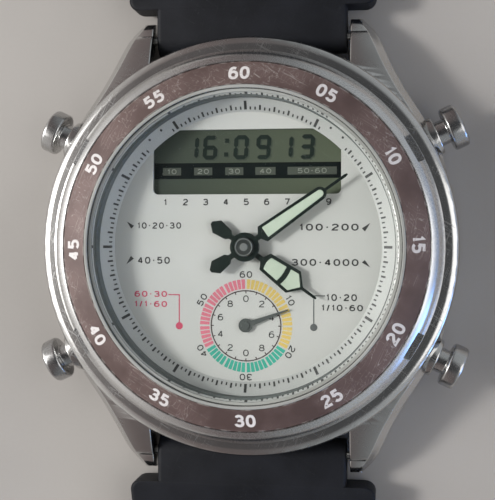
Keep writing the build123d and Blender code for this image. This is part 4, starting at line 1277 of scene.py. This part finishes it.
def anodised_material():
    """Brown anodising with drifting tone, scratches, and bare metal along the rubbed edges."""
    material = finish("anodised_brown", anodised, (0.46, 0.58), 0.06 * mm, relief=0.0015 * mm,
                      metallic=0.2, drift=260.0, worn=(0.010, bared), shine=0.35)
    tree = material.node_tree
    coloured = tree.nodes["Principled BSDF"].inputs["Base Color"]
    place = add_node(tree, "ShaderNodeTexCoord")
    level = add_node(tree, "ShaderNodeVectorMath", operation="MULTIPLY")
    level.inputs[1].default_value = (1.0, 1.0, 0.0)
    radius = add_node(tree, "ShaderNodeVectorMath", operation="LENGTH")
    feed(tree, level.inputs[0], place.outputs["Object"])
    feed(tree, radius.inputs[0], level.outputs["Vector"])
    off_axis = radius.outputs["Value"]
    outer = ranged(tree, off_axis, 0.0, 1.0, insert_outer - rub_outer, insert_outer)
    inner = ranged(tree, off_axis, 1.0, 0.0, insert_inner, insert_inner + rub_inner)
    chips = ranged(tree, place_group(tree, grain, Scale=chip_scale, Stretch=even), 0.0, 1.0,
                   *chip_span)
    rubbed = reckon(tree, "MULTIPLY", reckon(tree, "MAXIMUM", outer, inner), chips)
    feed(tree, coloured, mixed(tree, rubbed, coloured.links[0].from_socket, bared))
    return material


def on_ring(part, clock, outward):
    """Flat figures laid round the dished ring, tops outwards or towards the centre."""
    way = 1 if outward else -1
    fall = (insert_inner_z - insert_outer_z) / (insert_outer - insert_inner)
    slope = hypot(1.0, fall)

    def laid(x, y, z):
        radius = numeral_r + way * y / slope
        turn = radians(clock) + way * x / numeral_r
        height = insert_inner_z - fall * (radius - insert_inner)
        return (radius * sin(turn), radius * cos(turn), height + z)

    return moved(part, laid)


numeral_profile = rounded([(insert_outer, insert_outer_z), (insert_inner, insert_inner_z),
                           (insert_inner, insert_inner_z - insert_thick),
                           (insert_outer, insert_outer_z - insert_thick)], numeral_ring_rounds)
add_turned("numeral_ring", numeral_profile, anodised_material(), "case", "insert_print",
           "bezel_insert", steps=180)
ring_figures = []
for step in range(12):
    text = "%02d" % (5 * step) if step else "60"
    number = figures(text, numeral_height, weight=0.21, squeeze=0.70, space=0.10)
    ring_figures.append(on_ring(number, 30 * step + numeral_turn, step <= 3 or step >= 9))
numeral_white = finish("numeral_white", ((0.62, 0.59, 0.59), (0.74, 0.71, 0.71)), (0.4, 0.55),
                       0.06 * mm, worn=(0.012, (0.42, 0.36, 0.35)))
add_piece("ring_numerals", joined("ring_numerals", ring_figures), numeral_white, "case",
          "insert_print")

# Caseback
# Turned steel back, screwed against its gasket, with wrench notches round the edge. Its face is
# brushed and lightly rubbed by wear.

back_break = 0.06 * mm
back_steel = finish("back_steel", ((0.50, 0.50, 0.49), (0.60, 0.60, 0.585)), (0.24, 0.4), 0.05 * mm,
                    stretch=(1.0, 0.05, 1.0), metallic=1.0, worn=(0.03, (0.38, 0.38, 0.38)))
add_eased("screwed_back", "caseback", back_break, back_steel, "case", "case_steel")

# Pushers
# Four mushroom pushers turned from steel and polished, each with a neck that slides in its collar,
# a thin stem, a rubber seal and an open clip inside the case.

head_r = 2.2 * mm
head_half = 0.8 * mm
pusher_neck_r = 1.25 * mm
pusher_neck_end = 3.4 * mm
stem_r = 0.5 * mm
stem_end = 9.3 * mm
head_crown = 0.06 * mm
pusher_rounds = (0.0, 0.08, 0.02, 0.05, 0.15, 0.28, 0.4, 0.2, 0.0)


def pusher_mesh(name, stand):
    """Polished head with a domed face and rounded rim, neck and stem."""
    corners = [(axis_r, -stem_end), (stem_r, -stem_end), (stem_r, -pusher_neck_end),
               (pusher_neck_r, -pusher_neck_end), (pusher_neck_r, -head_half), (head_r, -head_half),
               (head_r, head_half - head_crown), (0.6 * head_r, head_half), (axis_r, head_half)]
    outline = rounded(corners, [radius * mm for radius in pusher_rounds], steps=6)
    return joined(name, [placed(lathe(outline[6:-6], steps=64, closed=False), stand)])


pusher_steel = finish("pusher_steel", ((0.44, 0.44, 0.44), (0.54, 0.54, 0.535)), (0.16, 0.28),
                      0.05 * mm, relief=0.0006 * mm, metallic=1.0, worn=(0.010, (0.42, 0.42, 0.42)))
for word, (side, level) in pusher_sides.items():
    add_piece("pusher_" + word, pusher_mesh("pusher_" + word, pusher_frame(side, level)), pusher_steel,
              "pusher_" + word, "polished_steel", "pusher_at_" + word)
    dress(seal_rubber, "pusher_seal_at_" + word)
    dress(inner_steel, "pusher_clip_at_" + word)

# Strap
# Two halves moulded in black resin, with a fine matt skin. Each has a nose round its spring bar
# between the lugs, wide shoulders beyond them, a taper, and holes or a slot for the buckle.

nose_r = 1.7 * mm
nose_half = 9.75 * mm
shoulder_y = 24.35 * mm
shoulder_half = 12.7 * mm
shoulder_corner = 1.0 * mm
narrow_half = 9.2 * mm
root_top = 4.25 * mm
root_end = 33.4 * mm
root_rise = 0.45 * mm
strap_thick = 2.4 * mm
strap_round = 0.5 * mm
bar_hole_r = 0.8 * mm
bar_hole_half = 13 * mm
upper_floor = 1.3 * mm
upper_taper = 45.0 * mm
lower_taper = 60.0 * mm
buckle_y = 93.4 * mm
end_r = 1.7 * mm
end_least = 0.3 * mm
notch_half = 1.3 * mm
notch_long = 5.0 * mm
lower_end = 136.4 * mm
tip_long = 9.0 * mm
hole_r = 1.05 * mm
first_hole = 71.4 * mm
hole_pitch = 7.0 * mm
hole_count = 7


def strap_section(y, half, low, high):
    """Rounded cross-section of the strap at one place."""
    soft = min(strap_round, 0.45 * (high - low))
    outline = rounded(box_outline(-half, low, half, high), [0.6 * soft, 0.6 * soft, soft, soft],
                      steps=5)
    return [(x, y, z) for x, z in outline]


def strap_stations(floor, taper, end):
    """(place, half width, underside, top) along a strap half, from the nose outwards."""
    nose = []
    for step in range(1, 9):
        turn = pi / 2 * step / 8
        rise = max(nose_r * sin(turn), 0.25 * nose_r)
        nose.append((bar_y - nose_r * cos(turn), nose_half, bar_z - rise, bar_z + rise))
    beyond = [(shoulder_y, nose_half)]
    for step in range(7):
        turn = pi / 2 * step / 6
        beyond.append((shoulder_y + shoulder_corner * (1 - cos(turn)),
                       shoulder_half - shoulder_corner * (1 - sin(turn))))
    start = shoulder_y + shoulder_corner
    for step in range(1, 20):
        y = start + (end - shoulder_y - shoulder_corner) * step / 19
        beyond.append((y, between([(start, shoulder_half), (bar_y + taper, narrow_half)], y)))
    high = floor + strap_thick
    tops = [(bar_y, bar_z + nose_r), (shoulder_y, root_top), (root_end, high + root_rise), (end, high)]
    lows = [(bar_y, bar_z - nose_r), (root_end, floor), (end, floor)]
    return nose + [(y, half, between(lows, y), between(tops, y)) for y, half in beyond]


def bar_hole(y, z):
    """Cutter for the hole of a bar, right across the strap."""
    across = Matrix.Translation((0, y, z)) @ Matrix.Rotation(pi / 2, 4, "Y")
    profile = [(axis_r, -bar_hole_half), (bar_hole_r, -bar_hole_half), (bar_hole_r, bar_hole_half),
               (axis_r, bar_hole_half)]
    return placed(lathe(profile, steps=32, closed=False), across)


def upper_strap_mesh():
    """Buckle half, with the slot for the tongue."""
    end = buckle_y + end_r
    stations = strap_stations(upper_floor, upper_taper, buckle_y)
    middle = upper_floor + strap_thick / 2
    for step in range(0, 8):
        turn = pi / 2 * step / 8
        y = buckle_y + end_r * sin(turn)
        rise = end_r * cos(turn)
        stations.append((y, narrow_half, middle - rise, middle + rise))
    stations.append((end, narrow_half, middle - end_least, middle + end_least))
    body = joined("strap_upper", [loft([strap_section(*s) for s in stations])])
    cuts = [brick(-notch_half, end - notch_long, -mm, notch_half, end + 2 * mm, 10 * mm),
            bar_hole(bar_y, bar_z), bar_hole(buckle_y, middle)]
    return combined(body, joined("cuts", cuts), "DIFFERENCE")


def lower_strap_mesh():
    """Tail half, with its row of adjusting holes and round tip."""
    stations = strap_stations(0.0, lower_taper, lower_end - tip_long)
    for step in range(1, 12):
        turn = pi / 2 * step / 12
        y = lower_end - tip_long * (1 - sin(turn))
        stations.append((y, narrow_half * cos(turn), 0.0, strap_thick))
    body = joined("strap_lower", [loft([strap_section(*s) for s in stations])])
    cuts = [bar_hole(bar_y, bar_z)]
    for step in range(hole_count):
        y = first_hole + hole_pitch * step
        cuts.append(prism(disc_outline(hole_r, 0.0, y, steps=28), -mm, 6 * mm))
    body = combined(body, joined("cuts", cuts), "DIFFERENCE")
    for vertex in body.vertices:
        vertex.co.y = -vertex.co.y
    body.flip_normals()
    return body


strap_resin = finish("strap_resin", ((0.0065, 0.0072, 0.0098), (0.0115, 0.0125, 0.0165)), (0.5, 0.66),
                     0.12 * mm, relief=0.010 * mm, drift=220.0, worn=(0.005, (0.025, 0.027, 0.03)),
                     shine=0.18)
add_piece("strap_buckle_half", upper_strap_mesh(), strap_resin, "strap_twelve", "strap_resin",
          "strap_upper")
add_piece("strap_tail_half", lower_strap_mesh(), strap_resin, "strap_six", "strap_resin",
          "strap_lower")
dress(inner_steel, "spring_bars", "buckle_bar")

# Keeper loop
# Loop moulded in the same resin, round the buckle half. It slides along the strap and holds the
# tail down.

keeper_low, keeper_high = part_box("keeper_loop")
keeper_wall = 1.1 * mm
keeper_corner = 0.9 * mm
keeper_break = 0.28 * mm


def keeper_mesh():
    """Loop with rounded corners and softened rims."""
    half = keeper_high[0]
    low = keeper_low[2]
    high = keeper_high[2]
    outer = rounded(box_outline(-half, low, half, high), [keeper_corner] * 4, steps=5)
    inner = rounded(box_outline(-half + keeper_wall, low + keeper_wall, half - keeper_wall,
                                high - keeper_wall), [0.4 * keeper_corner] * 4, steps=5)
    count = len(outer)
    points = []
    for y in (keeper_low[1], keeper_high[1]):
        points += [(x, y, z) for x, z in outer] + [(x, y, z) for x, z in inner]
    faces = []
    for i in range(count):
        j = (i + 1) % count
        near = (i, j, count + j, count + i)
        faces.append(near)
        faces.append(tuple(2 * count + k for k in near))
        faces.append((i, j, 2 * count + j, 2 * count + i))
        faces.append((count + i, count + j, 3 * count + j, 3 * count + i))
    return worked(joined("keeper", [(points, faces)]), keeper_break, segments=3)


add_piece("keeper_band", keeper_mesh(), strap_resin, "keeper", "strap_resin", "keeper_loop")

# Buckle
# Cast and polished steel frame on a bar through the strap's end, with a bent tongue that rests on
# its crossbar.

frame_break = 0.3 * mm
tongue_break = 0.2 * mm
add_eased("buckle_frame_polished", "buckle_frame", frame_break, bright_steel, "buckle",
          "polished_steel", segments=3)
add_eased("buckle_tongue_polished", "buckle_tongue", tongue_break, bright_steel, "tongue",
          "polished_steel", segments=3)
